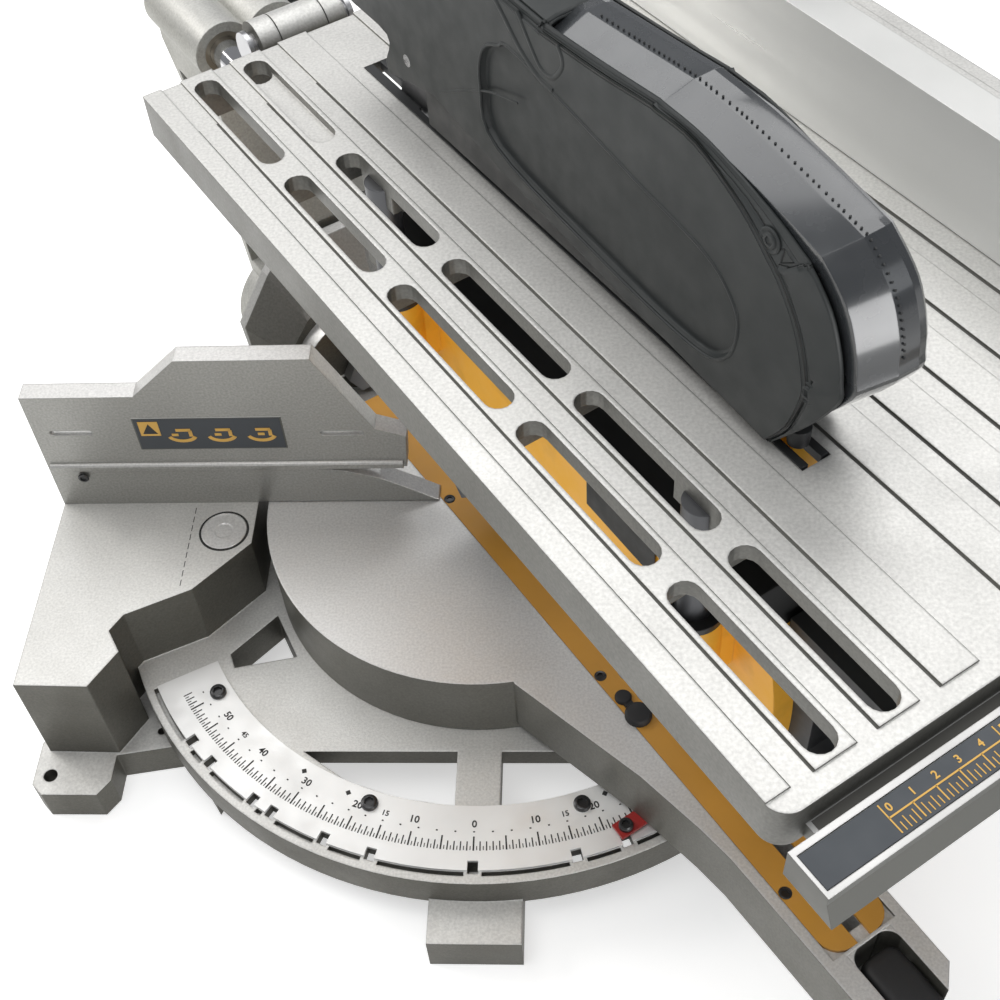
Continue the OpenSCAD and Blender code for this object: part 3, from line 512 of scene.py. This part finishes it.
def set_camera():
    """The camera at the photograph's place and angle."""
    data = bpy.data.cameras.new("camera")
    data.sensor_width = CAMERA_SENSOR
    data.lens = CAMERA_LENS
    data.clip_start = 0.01
    ahead = Vector((math.sin(CAMERA_YAW) * math.cos(CAMERA_PITCH),
                    math.cos(CAMERA_YAW) * math.cos(CAMERA_PITCH), -math.sin(CAMERA_PITCH)))
    right = Vector((math.cos(CAMERA_YAW), -math.sin(CAMERA_YAW), 0))
    up = right.cross(ahead)
    right_rolled = math.cos(CAMERA_ROLL) * right + math.sin(CAMERA_ROLL) * up
    up_rolled = -math.sin(CAMERA_ROLL) * right + math.cos(CAMERA_ROLL) * up
    camera = bpy.data.objects.new("camera", data)
    rotation = Matrix((right_rolled, up_rolled, -ahead)).transposed()
    camera.matrix_world = Matrix.Translation(CAMERA_PLACE) @ rotation.to_4x4()
    scene.collection.objects.link(camera)
    scene.camera = camera


def set_floor():
    """A large sheet of pale paper just below the feet, which glows a little so that it stays white."""
    bm = bmesh.new()
    bmesh.ops.create_grid(bm, x_segments=1, y_segments=1, size=FLOOR_REACH)
    mesh = bpy.data.meshes.new("floor")
    bm.to_mesh(mesh)
    bm.free()
    mesh.transform(Matrix.Scale(MM, 4))
    shader = Shader("floor_paper", (0.82, 0.82, 0.81), 0.9)
    shader.principled.inputs["Emission Color"].default_value = (*WHITE, 1)
    shader.principled.inputs["Emission Strength"].default_value = FLOOR_GLOW
    shader.bump(shader.noise(500, 2), 0.05, 0.1 * MM)
    mesh.materials.append(shader.material)
    floor = bpy.data.objects.new("floor", mesh)
    floor.location.z = -FLOOR_DROP * MM
    scene.collection.objects.link(floor)


def area_light(name, place, target, size, power, color):
    """A rectangular light that looks at its target."""
    data = bpy.data.lights.new(name, "AREA")
    data.shape = "RECTANGLE"
    data.size, data.size_y = size
    data.energy = power
    data.color = color
    light = bpy.data.objects.new(name, data)
    light.location = place
    light.rotation_euler = (Vector(target) - Vector(place)).to_track_quat("-Z", "Y").to_euler()
    light.visible_diffuse = name != GLOSS_ONLY
    scene.collection.objects.link(light)


def set_lights():
    """The studio: a dim even sky and the area lights."""
    world = bpy.data.worlds.new("studio")
    world.use_nodes = True
    background = world.node_tree.nodes["Background"]
    background.inputs["Color"].default_value = SKY_COLOR
    background.inputs["Strength"].default_value = SKY_STRENGTH
    scene.world = world
    for light in LIGHTS:
        area_light(*light)
    scene.view_settings.view_transform = "Standard"


# ---- upper guard ---------------------------------------------------------------------------

# Outline of the guard, from the rear foot over the top to the nose, and the crease inside it, as (s, z).
GUARD_OUTLINE = [(-31, 299), (-33, 305), (-31, 317), (-69, 319), (-69, 334), (-49, 352), (-23, 364),
                 (-6, 374), (20, 389), (60, 393), (101, 392), (104, 392.2), (140, 394.8), (171, 397.2),
                 (176, 397.3), (203, 395.5), (240, 389.6), (259, 386.3), (264, 384.2), (277, 373),
                 (284, 359), (286.5, 347), (286, 338), (268, 313), (248, 287)]
GUARD_CREASE = [(-27, 300), (-29, 305), (-25, 321), (-62, 323), (-64, 332), (-45, 347), (-20, 359),
                (-1, 369), (24, 384), (61, 387), (100, 386), (104, 386), (141, 388), (169, 391),
                (174, 391), (196, 390), (222, 379.5), (238, 368), (243, 364), (252, 353.5),
                (258, 342), (261.5, 330), (262, 322), (256, 302), (246, 286)]
GUARD_BOTTOM = [(143, 294), (69, 301), (14, 310)]
GUARD_OVAL = [(60, 357), (72, 365), (87, 368), (167, 355), (205, 349), (221, 339), (226, 327), (221, 309),
              (202, 300), (143, 302), (66, 312), (56, 338)]
GUARD_MIDDLE = 5.0             # r of the middle plane of the guard
GUARD_HALF = 18.0              # distance from there to a side face
SIDE_WALL = 1.6
TOP_WALL = 1.8
STEPS = 4                      # curve points for each point of the outline
HOOD_FROM, HOOD_TO = 11, 24    # outline points between which the top is the glossy hood

# Section of a side shell: distance from the middle plane, and share of the way from outline to crease.
SHELL_SECTION = [(14.9, 0.42), (15.7, 0.44), (16.3, 0.58), (17.3, 0.97), (17.3, 1.0),
                 (GUARD_HALF, 1.06), (GUARD_HALF, 1.16)]
# Section of the edge of the sunken oval: distance from the middle plane, and inset from the oval.
OVAL_SECTION = [(GUARD_HALF, -1.2), (GUARD_HALF, 0), (GUARD_HALF - 0.5, 0.7), (GUARD_HALF - 2.4, 1.5),
                (GUARD_HALF - 2.8, 2.6)]
# Sections across the top, as distance to the right of the middle plane, and inset from the outline.
HOOD_SECTION = [(-14.7, 7.5), (-14.4, 6.2), (-1.5, 0.9), (-0.7, 0.6), (8.0, 0.2), (11.5, 1.0),
                (13.8, 3.0), (14.7, 6.5)]
SPINE_SECTION = [(-14.7, 5.5), (-13.5, 3.0), (-10, 2.2), (0, 2.0), (10, 2.2), (13.5, 3.0), (14.7, 5.5)]

# Raised beads on each side, as points (s, z) and a radius, and the seam of the nose.
GUARD_BEADS = [
    ([(69, 387.8), (73.5, 384.8), (79.3, 380), (89, 372), (101, 366), (111, 365)], 1.5),
    ([(87.5, 388), (90, 385.5), (96, 378), (103, 371), (111, 371), (117, 378), (117.5, 383),
      (114.5, 387)], 1.2),
    ([(20, 314.6), (41, 327), (60, 337), (72, 341.5), (85, 345)], 0.6),
]
NOSE_SEAM = [(231.5, 361), (234, 369)]
GUARD_SCREWS = [((236, 375), 16.7), ((263, 325), 16.9)]    # (s, z) and distance from the middle plane
SCREW_SEAT = [(5.2, 0), (5.2, 0.5), (4.6, 0.8), (3.9, 0.4)]
# The row of dots on the hood: curve points for each outline point, its first and last curve point,
# the gap between dots, their distance from the middle plane and their radius.
STIPPLE_STEPS = 24
STIPPLE_FROM = HOOD_FROM * STIPPLE_STEPS + 8
STIPPLE_TO = (HOOD_TO - 3) * STIPPLE_STEPS
STIPPLE_GAP = 2.6
STIPPLE_SIDE = 0.8
STIPPLE_RADIUS = 0.55
FOOT_PLACE = (0, -251, TABLE_TOP + 0.7)
FOOT_PROFILE = [(2.5, 0), (4.3, 0.6), (4.6, 2.5), (4.6, 9)]
SKIRT_OUTLINE = [(-2, 283), (236, 283), (238, 292), (143, 302), (69, 309), (14, 318), (-2, 320)]
SKIRT_SIDES = (-7.4, 12.4)     # r of the middles of the two inner plates
SKIRT_HALF = 0.6


def side_point(side, r, point):
    """A guard point from (s, z) and its distance r from the middle plane of the guard."""
    return Vector((GUARD_MIDDLE + side * r, -point[0], point[1]))


def guard_shell(side, name):
    """One side of the guard: its rim, its flat face and the sunken oval in that face."""
    outline = spline(GUARD_OUTLINE, STEPS)
    crease = spline(GUARD_CREASE, STEPS)
    bm = bmesh.new()
    rim = [[side_point(side, r, edge.lerp(fold, share)) for edge, fold in zip(outline, crease)]
           for r, share in SHELL_SECTION]
    outer = add_rings(bm, rim, closed=False)[-1]
    outer += [bm.verts.new(side_point(side, GUARD_HALF, p)) for p in GUARD_BOTTOM]
    oval = spline(GUARD_OVAL, 4, closed=True)
    center = sum(oval, Vector((0, 0))) / len(oval)
    recess = [[side_point(side, r, point + (center - point).normalized() * inset) for point in oval]
              for r, inset in OVAL_SECTION]
    inner = add_rings(bm, recess, cap=(False, True))[0]
    edges = []
    for loop in (outer, inner):
        for a, b in zip(loop, loop[1:] + loop[:1]):
            edges.append(bm.edges.get((a, b)) or bm.edges.new((a, b)))
    bmesh.ops.triangle_fill(bm, use_beauty=True, edges=edges)
    item = piece(name, bm, GUARD, "top_guard", smooth=28, facing=side)
    for polygon in item.data.polygons:
        polygon.use_smooth = abs(polygon.normal.x) < FLAT
    thicken(item, SIDE_WALL)
    return item


def guard_cap(name, start, end, sections, material):
    """The top of the guard over part of the outline, whose sides reach half way to the crease."""
    part = slice(start * STEPS, end * STEPS + 1)
    outline = spline(GUARD_OUTLINE, STEPS)[part]
    crease = spline(GUARD_CREASE, STEPS)[part]
    rings = []
    for r, inset in sections:
        ring = []
        at_side = (r, inset) in (sections[0], sections[-1])
        for edge, fold in zip(outline, crease):
            inward = (fold - edge).normalized()
            reach = max(inset, 0.5 * (fold - edge).length) if at_side else inset
            ring.append(side_point(1, r, edge + inward * reach))
        rings.append(ring)
    bm = bmesh.new()
    add_rings(bm, rings, closed=False)
    item = piece(name, bm, material, "top_guard", smooth=12)
    thicken(item, TOP_WALL)
    return item


def side_tube(bm, side, depth, points, radius, flat=1.0, capped=True):
    """A thin tube along (s, z) points, its middle this deep below a side face of the guard."""
    path = [side_point(side, GUARD_HALF - depth, p) for p in points]
    add_rings(bm, tube_rings(path, radius, flat), cap=(capped, capped))


def guard_lines():
    """Raised beads, the edge of the sunken oval, dark lines of painted shade in the creases and the dark
    seam of the nose, on both sides.
    """
    beads = bmesh.new()
    creases = bmesh.new()
    fold = spline(GUARD_CREASE, STEPS)[HOOD_FROM * STEPS:]
    oval = spline(GUARD_OVAL, 5, closed=True)
    for side in (-1, 1):
        for points, radius in GUARD_BEADS:
            side_tube(beads, side, 0.1, spline(points, 5), radius, 0.5)
        # painted shade: a dark tube in the crease of each shell
        side_tube(creases, side, 0.5, fold, 0.35)
        side_tube(creases, side, 0.9, spline(NOSE_SEAM, 4), 0.5)
        side_tube(beads, side, 0.2, oval + oval[:1], 0.9, 0.8, capped=False)
    piece("guard_beads", beads, GUARD, "top_guard", smooth=60)
    # dark crease tubes of painted shade, and the dark joint of the nose seam
    piece("guard_creases", creases, INK, "top_guard", smooth=60)


def guard_screws():
    """Socket screws in round seats, on both sides of the guard."""
    bm = bmesh.new()
    for side in (-1, 1):
        turned = Matrix.Rotation(side * math.pi / 2, 4, "Y")
        for point, r in GUARD_SCREWS:
            place = Matrix.Translation(side_point(side, r, point)) @ turned
            lathe(bm, SCREW_SEAT, place)
            socket_screw(bm, place, 3.2, 1.0)
    piece("guard_screws", bm, GUARD, "top_guard", smooth=40)


def hood_stipple():
    """The row of small dots along the middle of the hood."""
    bm = bmesh.new()
    outline = spline(GUARD_OUTLINE, STIPPLE_STEPS)[STIPPLE_FROM:STIPPLE_TO]
    travelled = 0
    for previous, point in zip(outline, outline[1:]):
        travelled += (point - previous).length
        if travelled > STIPPLE_GAP:
            travelled = 0
            place = Matrix.Translation(side_point(1, STIPPLE_SIDE, point))
            bmesh.ops.create_icosphere(bm, subdivisions=1, radius=STIPPLE_RADIUS, matrix=place)
    piece("hood_stipple", bm, BLACK, "top_guard", smooth=180)


def guard_foot():
    """The small round foot under the nose of the guard."""
    bm = bmesh.new()
    lathe(bm, FOOT_PROFILE, Matrix.Translation(FOOT_PLACE))
    piece("guard_foot", bm, BLACK, "top_guard", smooth=40)


def guard_skirt():
    """Black inner plates that close the gap between the guard and the table."""
    bm = bmesh.new()
    for middle in SKIRT_SIDES:
        rings = [[Vector((r, -s, z)) for s, z in SKIRT_OUTLINE]
                 for r in (middle - SKIRT_HALF, middle + SKIRT_HALF)]
        add_rings(bm, rings, cap=(True, True))
    piece("guard_skirt", bm, BLACK, "top_guard", ON_ARM, 0)


def upper_guard():
    """The black guard above the table."""
    left = guard_shell(-1, "guard_cover_left")
    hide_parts("guard_shell_left")
    right = guard_shell(1, "guard_cover_right")
    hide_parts("guard_shell_right")
    hood = guard_cap("guard_hood_cap", HOOD_FROM, HOOD_TO, HOOD_SECTION, HOOD)
    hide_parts("guard_hood")
    guard_cap("guard_spine", 0, HOOD_FROM, SPINE_SECTION, GUARD)
    guard_lines()
    guard_screws()
    hood_stipple()
    guard_foot()
    guard_skirt()


# ---- scales --------------------------------------------------------------------------------

# Marks on the mitre scale: thickness, radii of their places, and width and length of each kind.
MARK = 0.16
LINE_END, HALF_DEGREE_RADIUS, DOT_RADIUS, NUMBER_RADIUS, STOP_RADIUS = 213, 211.5, 201.6, 197, 192
LONG_LINE, SHORT_LINE, HALF_DEGREE_LINE = (0.9, 8.5), (0.7, 5.5), (0.5, 2.4)
DOT, DIAMOND = (1.1, 0.8), (2.6, 2.6)
STOPS = (-31.62, -22.5, 22.5, 31.62)
NUMBERS = (*range(-50, 51, 10), -45, 45, -15, 15)
BIG_NUMBER, SMALL_NUMBER = 6.0, 4.6

RULER_ZERO, RULER_END = -76.3, 224.0
RULER_FRONT = 389.9      # s at which the lines of the ruler end
# Where the lines of the ruler begin, as s: those at every 50, 10, 4 and 2 mm.
RULER_LINES = [(50, 378.4), (10, 383.8), (4, 385.4), (2, 386.6)]
RULER_MARK = 0.14        # thickness of its marks
RULER_BASE_LINE = 383.8  # s of the line along the ruler
RULER_NUMBER_S, RULER_NUMBER_SHIFT, RULER_NUMBER = 380.9, 2.6, 4.2

# Middles and half width of the raised strips of the upper table, and the other edges in it, as r.
STRIP_MIDDLES = (-78.3, -51.0, *(21.2 + 27.3 * k for k in range(8)))
STRIP_HALF = 8.7
OTHER_EDGES = (-32.4, -15.1)
LEFT_EDGE = -97.6
# Place and size of the painted shadow lines along the strips.
GROOVE_OFFSET = 0.4
GROOVE_WIDTH, GROOVE_HEIGHT, GROOVE_DEPTH = 0.75, 0.14, 1.12
# A dark sheet of painted shadow in the gap between the upper table and the ruler rail.
RULER_GAP_SHADOW_PLACE = (66, -371.3, 266.2)
RULER_GAP_SHADOW_SIZE = (320, 5.6, 0.3)


def ring_point(degrees, radius, z=0):
    """A point on the mitre ring, with the angle counted from straight ahead."""
    angle = math.radians(degrees)
    return Vector((radius * math.sin(angle), -radius * math.cos(angle), z))


def ring_mark(bm, degrees, radius, size, turn=0):
    """A thin rectangle on the mitre scale."""
    center = ring_point(degrees, radius, SCALE_TOP + MARK / 2)
    add_box(bm, center, (*size, MARK), math.radians(degrees + turn))


def mitre_marks():
    """Degree lines, half-degree lines at their outer ends, dots, a diamond at each stop, numbers."""
    bm = bmesh.new()
    for degree in range(-58, 59):
        line = LONG_LINE if degree % 5 == 0 else SHORT_LINE
        ring_mark(bm, degree, LINE_END - line[1] / 2, line)
    for half_degree in range(-115, 116, 2):
        ring_mark(bm, half_degree / 2, HALF_DEGREE_RADIUS, HALF_DEGREE_LINE)
    for degree in range(-57, 58, 3):
        ring_mark(bm, degree, DOT_RADIUS, DOT)
    for degree in STOPS:
        ring_mark(bm, degree, STOP_RADIUS, DIAMOND, turn=45)
    piece("mitre_scale_marks", bm, INK, "base", ON_DECK, 0)
    entries = []
    for degree in NUMBERS:
        turn = Matrix.Rotation(math.radians(degree), 4, "Z")
        matrix = Matrix.Translation(ring_point(degree, NUMBER_RADIUS, SCALE_TOP + 0.1)) @ turn
        entries.append((str(abs(degree)), matrix, BIG_NUMBER if degree % 10 == 0 else SMALL_NUMBER))
    lettering("mitre_scale_numbers", entries, 0.08, INK, "base", ON_DECK)


def ruler_marks():
    """Lines every 2 mm on the dark strip, a line along it, and the centimetre numbers."""
    bm = bmesh.new()
    top = STRIP_TOP + RULER_MARK / 2
    entries = []
    for millimetre in range(0, int(RULER_END - RULER_ZERO) + 1, 2):
        r = RULER_ZERO + millimetre
        start = next(s for step, s in RULER_LINES if millimetre % step == 0)
        width = 0.5 if millimetre % 10 == 0 else 0.38
        add_box(bm, (r, -(start + RULER_FRONT) / 2, top), (width, RULER_FRONT - start, RULER_MARK))
        if millimetre % 10 == 0:
            matrix = Matrix.Translation((r + RULER_NUMBER_SHIFT, -RULER_NUMBER_S, STRIP_TOP + 0.08))
            entries.append((str(millimetre // 10), matrix, RULER_NUMBER))
    middle = (RULER_ZERO + RULER_END) / 2
    add_box(bm, (middle, -RULER_BASE_LINE, top), (RULER_END - RULER_ZERO, 0.6, RULER_MARK))
    piece("ruler_marks", bm, GOLD_INK, "bench", ON_ARM, 0)
    lettering("ruler_numbers", entries, 0.07, GOLD_INK, "bench", ON_ARM)


def table_grooves():
    """Thin shadow lines along the raised strips of the upper table, and a dark sheet of painted shadow in
    the gap behind the ruler rail.
    """
    bm = bmesh.new()
    rear, front = TABLE_REAR + 1, TABLE_FRONT - 9
    edges = [LEFT_EDGE + GROOVE_OFFSET]
    for middle in STRIP_MIDDLES:
        edges += [middle - STRIP_HALF - GROOVE_OFFSET, middle + STRIP_HALF + GROOVE_OFFSET]
    for r in (*edges, *OTHER_EDGES):
        add_box(bm, (r, -(rear + front) / 2, TABLE_TOP - GROOVE_DEPTH),
                (GROOVE_WIDTH, front - rear, GROOVE_HEIGHT))
    # painted shadow in the channel behind the ruler rail
    add_box(bm, RULER_GAP_SHADOW_PLACE, RULER_GAP_SHADOW_SIZE)
    piece("table_grooves", bm, SHADOW, "bench", ON_ARM, 0)


# ---- small pieces --------------------------------------------------------------------------

# Edges of the label on the sliding fence, as x and z, and the y just in front of it.
LABEL_LEFT, LABEL_RIGHT, LABEL_LOW, LABEL_HIGH = -203, -115, 52, 78
LABEL_FRONT = -0.6
LABEL_BORDER = 0.8
SIGN_START, SIGN_SPACING, SIGN_THICKNESS = 27, 24, 0.3    # the first counted from the left edge
BADGE_PLACE = (LABEL_LEFT + 8.5, LABEL_FRONT, LABEL_HIGH - 8)
BADGE_SIDE = 12
# Section of the lip along the foot of the sliding fence, as (y, z), and the x of its ends.
LIP_SECTION = [(0.3, 39), (-1.6, 38.6), (-2.4, 37.6), (-2.5, 35), (-2.0, 33.6), (0.3, 33.2)]
LIP_ENDS = (-264, -46)
SET_SCREW_PLACE = (-246, -1.2, 27)

# Profiles of the round plugs on the wings and of the dark groove round them.
PLUG_PLACE = Vector((160, -23, -0.1))
PLUG_PROFILE = [(14.2, 0), (14.2, 0.5), (13.6, 0.75), (13.2, 0.6), (6, 0.62), (5.4, 0.45)]
PLUG_GROOVE = [(15.6, 0), (15.6, 0.28), (14.0, 0.3)]
WING_LINES = [(180.5, -6.5 - 7 * k) for k in range(9)]

SCALE_SCREWS = [ring_point(degrees, 194, SCALE_TOP) for degrees in (-55.4, -18.2, 18.2, 55.4)]
KERF_SCREWS = [(r, -s, -1) for r in (-16.3, 16.3) for s in (-13, 147, 305)]
POINTER_SCREW = [(-46, -212, -44)]

# Strips in the blade slot: distance to the middle of the slot, y of the middle, width and length.
THROAT_STRIPS = [(5.1, -120.5, 3.6, 281), (4.45, 43.0, 4.9, 46)]
THROAT_DEPTH = 3.0
THROAT_HEIGHT = 4.4
HOUSING_LABEL = [(151, 165), (203, 163), (203, 184), (151, 184)]
HOUSING_LABEL_SIDES = (-26.9, -27.5)

KNOB_R = -14.5
KNOB_FOOT = -1
KNOB_DISCS = [(180, 7.6, 5.4), (166, 4.8, 3.6)]    # s, radius and height
KNOB_NECK = [(-3, 0), (3, 0), (2.4, 2.6), (-2.4, 2.6)]
KNOB_NECK_ENDS = (166, 178)

# Sections of the lock grip along the arm, as (s, half width, top, bottom).
GRIP_SECTIONS = [(352.2, 6.0, -8, -19), (352.9, 8.4, -6, -21), (354.6, 10.4, -4.4, -23),
                 (358, 12.0, -3.1, -25.5), (372, 12.4, -2.6, -27), (384, 12.4, -3.0, -28),
                 (404, 12.2, -7.6, -32.4), (418, 11.6, -11.8, -35.6), (427, 10.2, -18, -35.6),
                 (431.4, 7.6, -23.6, -33)]
GRIP_MIDDLE = 1
GRIP_POWER = 0.4                       # 1 makes its sections round, 0 square
POCKET_WALLS = [(-13, 1), (15, -1)]    # r of each side wall, and the way to the middle
POCKET_END = 347                       # s of its rear wall
POCKET_RADIUS = 8
POCKET_HEIGHTS = (-33.9, -0.03)        # z of its floor and of its rim

TEETH = 60
BLADE_RADIUS = 152.4
BLADE_BORE = 15.2     # radius of its hole
BLADE_HALF = 1.15     # half its thickness
# Outline of a tooth and its gullet, as the share of the pitch and the depth below the tips.
TOOTH = [(0.0, 0.0), (0.02, 4.95), (0.10, 9.0), (0.22, 8.64), (0.34, 5.4), (0.46, 3.0), (0.75, 1.2)]


def add_plate(bm, outline, at):
    """A plate between two planes; at gives a point for each plane and each point of the outline."""
    add_rings(bm, [[at(plane, p) for p in outline] for plane in (0, 1)], cap=(True, True))


def fence_label():
    """A dark plate in a thin light border on the sliding fence."""
    width, height = LABEL_RIGHT - LABEL_LEFT, LABEL_HIGH - LABEL_LOW
    middle = Vector(((LABEL_LEFT + LABEL_RIGHT) / 2, 0, (LABEL_LOW + LABEL_HIGH) / 2))
    border = bmesh.new()
    add_box(border, middle, (width + 2 * LABEL_BORDER, 0.6, height + 2 * LABEL_BORDER))
    soften(piece("fence_label_border", border, RAIL_METAL, "left_fence", ON_DECK, 0))
    plate = bmesh.new()
    add_box(plate, middle, (width, 1.0, height))
    soften(piece("fence_label_plate", plate, LABEL, "left_fence", ON_DECK, 0))


def label_signs():
    """Plain gold signs on the label: three alike and a square with a dark triangle."""
    signs = bmesh.new()
    add_box(signs, BADGE_PLACE, (BADGE_SIDE, SIGN_THICKNESS, BADGE_SIDE))
    for index in range(3):
        x = LABEL_LEFT + SIGN_START + SIGN_SPACING * index
        center = Vector((x, LABEL_FRONT, (LABEL_LOW + LABEL_HIGH) / 2 - 1))
        path = [center + Vector((8 * math.cos(a), 0, 5 * math.sin(a)))
                for a in (math.radians(195 + 15 * k) for k in range(11))]
        add_rings(signs, tube_rings(path, 1.3, 0.15, 6, Vector((0, 1, 0))), cap=(True, True))
        add_box(signs, center + Vector((1.5, 0, 4.5)), (9, SIGN_THICKNESS, 2.2))
        add_box(signs, center + Vector((5.5, 0, 1.5)), (2.2, SIGN_THICKNESS, 5))
        add_box(signs, center + Vector((-4 + 2 * index, 0, 0.5)), (4, SIGN_THICKNESS, 2))
    piece("fence_label_signs", signs, GOLD_INK, "left_fence", ON_DECK, 0)
    mark = bmesh.new()
    corners = [(LABEL_LEFT + 4, LABEL_HIGH - 12.2), (LABEL_LEFT + 13, LABEL_HIGH - 12.2),
               (LABEL_LEFT + 8.5, LABEL_HIGH - 3.8)]
    planes = (LABEL_FRONT - 0.1, LABEL_FRONT - 0.25)
    add_plate(mark, corners, lambda plane, p: Vector((p[0], planes[plane], p[1])))
    piece("fence_label_mark", mark, INK, "left_fence", ON_DECK, 0)


def fence_lip():
    """The rounded lip along the foot of the sliding fence, and its set screw."""
    lip = bmesh.new()
    add_plate(lip, LIP_SECTION, lambda end, p: Vector((LIP_ENDS[end], *p)))
    piece("fence_lip", lip, FENCE, "left_fence", ON_DECK, 30)
    screw = bmesh.new()
    socket_screw(screw, Matrix.Translation(SET_SCREW_PLACE) @ Matrix.Rotation(math.pi / 2, 4, "X"),
                 3.4, 1.2, 0.55)
    piece("fence_set_screw", screw, BLACK_OXIDE, "left_fence", ON_DECK, 35)


def deck_marks():
    """Round plugs with a dark groove round them, and the scribed lines on the wings."""
    plugs = bmesh.new()
    dark = bmesh.new()
    for side in (-1, 1):
        place = Matrix.Translation((side * PLUG_PLACE.x, PLUG_PLACE.y, PLUG_PLACE.z))
        lathe(plugs, PLUG_PROFILE, place, 48)
        lathe(dark, PLUG_GROOVE, place, 48)
        for x, y in WING_LINES:
            add_box(dark, (side * x, y, 0.02), (0.5, 4.6, 0.12))
    piece("wing_plugs", plugs, TURNTABLE, "base", ON_DECK, 0)
    piece("wing_lines", dark, INK, "base", ON_DECK, 0)


def screw_heads(name, points, radius, height, socket, body, place):
    """Black screw heads that stand at these points, as one piece."""
    bm = bmesh.new()
    for point in points:
        socket_screw(bm, Matrix.Translation(point), radius, height, socket)
    return piece(name, bm, BLACK_OXIDE, body, place, 35)


def screws():
    """The screws of the mitre scale, of the kerf plates and of the pointer."""
    scale_heads = screw_heads("scale_screw_heads", SCALE_SCREWS, 5.0, 3.0, 0.52, "base", ON_DECK)
    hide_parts("miter_scale_screws")
    arm_heads = screw_heads("kerf_screw_heads", KERF_SCREWS, 3.5, 1.4, 0.5, "turntable", ON_ARM)
    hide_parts("kerf_plate_screws")
    screw_heads("pointer_screw", POINTER_SCREW, 4.2, 3.4, 0.5, "turntable", ON_ARM)


def table_throat():
    """Black strips that narrow the blade slot of the upper table."""
    bm = bmesh.new()
    for side in (-1, 1):
        for r, y, width, length in THROAT_STRIPS:
            add_box(bm, (side * r, y, TABLE_TOP - THROAT_DEPTH), (width, length, THROAT_HEIGHT))
    piece("table_throat", bm, BLACK, "bench", ON_ARM, 0)


def housing_label():
    """A blank dark plate on the left face of the blade housing."""
    bm = bmesh.new()
    add_plate(bm, HOUSING_LABEL, lambda side, p: Vector((HOUSING_LABEL_SIDES[side], -p[0], p[1])))
    soften(piece("housing_label", bm, INK, "head", ON_ARM, 0))


def kerf_knob():
    """The black knob that adjusts the left kerf plate, with its small round tail."""
    bm = bmesh.new()
    for s, radius, height in KNOB_DISCS:
        profile = [(radius, 0), (radius, height * 0.6), (radius * 0.86, height * 0.9),
                   (radius * 0.5, height)]
        lathe(bm, profile, Matrix.Translation((KNOB_R, -s, KNOB_FOOT)))
    add_plate(bm, KNOB_NECK,
              lambda end, p: Vector((KNOB_R + p[0], -KNOB_NECK_ENDS[end], KNOB_FOOT + p[1])))
    piece("kerf_knob", bm, GRIP, "turntable", ON_ARM, 40)


def squarish(value):
    """A cosine or sine pushed outward, which makes a circle a rounded square."""
    return math.copysign(abs(value) ** GRIP_POWER, value)


def lock_grip():
    """The rounded black grip at the end of the arm."""
    rings = []
    for s, half, top, bottom in GRIP_SECTIONS:
        middle, rise = (top + bottom) / 2, (top - bottom) / 2
        rings.append([Vector((GRIP_MIDDLE + half * squarish(math.cos(a)), -s,
                              middle + rise * squarish(math.sin(a)))) for a in turns(28)])
    bm = bmesh.new()
    add_rings(bm, rings, cap=(True, True))
    grip = piece("lock_grip", bm, GRIP, "turn_lock", ON_ARM, 50)
    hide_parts("miter_lock_handle")


def pocket_corners():
    """The rounded corners of the pocket that the grip stands in."""
    bm = bmesh.new()
    for r, side in POCKET_WALLS:
        arc = [(r + side * POCKET_RADIUS * (1 - math.sin(a)), POCKET_END + POCKET_RADIUS * (1 - math.cos(a)))
               for a in (math.pi / 2 * k / 8 for k in range(9))]
        behind = r - side * 0.2    # the corner pieces reach a little into the walls
        outline = [(behind, POCKET_END - 0.2), *arc, (behind, POCKET_END + POCKET_RADIUS)]
        add_plate(bm, outline, lambda plane, p: Vector((p[0], -p[1], POCKET_HEIGHTS[plane])))
    piece("pocket_corners", bm, TURNTABLE, "turntable", ON_ARM, 20)


def blade_outline():
    """The toothed edge, as points round the middle of the blade."""
    points = []
    pitch = 2 * math.pi / TEETH
    for tooth in range(TEETH):
        for share, drop in TOOTH:
            angle = tooth * pitch + share * pitch
            points.append(((BLADE_RADIUS - drop) * math.cos(angle), (BLADE_RADIUS - drop) * math.sin(angle)))
    return points


def toothed_blade():
    """The blade: a flat plate between its toothed edge and the hole for the arbor."""
    center = Vector(JOINTS["arbor_spin"]["pos_m"]) - Vector((0, 0, DECK))
    s = Vector((center.x, center.y)).length / MM
    z = center.z / MM
    bore = [(BLADE_BORE * math.cos(a), BLADE_BORE * math.sin(a)) for a in turns(48)]
    bm = bmesh.new()
    sides = []
    for r in (-BLADE_HALF, BLADE_HALF):
        loops = [[bm.verts.new((r, -(s + p[0]), z + p[1])) for p in outline]
                 for outline in (blade_outline(), bore)]
        edges = [bm.edges.new(pair) for loop in loops for pair in zip(loop, loop[1:] + loop[:1])]
        bmesh.ops.triangle_fill(bm, use_beauty=True, edges=edges)
        sides.append(loops)
    for left, right in zip(*sides):
        for i in range(len(left)):
            j = (i + 1) % len(left)
            bm.faces.new((left[i], left[j], right[j], right[i]))
    blade = piece("toothed_blade", bm, BLADE_METAL, "arbor", ON_ARM, 30)
    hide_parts("saw_blade")


dress_nodes()
set_camera()
set_floor()
set_lights()
upper_guard()
mitre_marks()
ruler_marks()
table_grooves()
fence_label()
label_signs()
fence_lip()
deck_marks()
screws()
table_throat()
housing_label()
kerf_knob()
lock_grip()
pocket_corners()
toothed_blade()
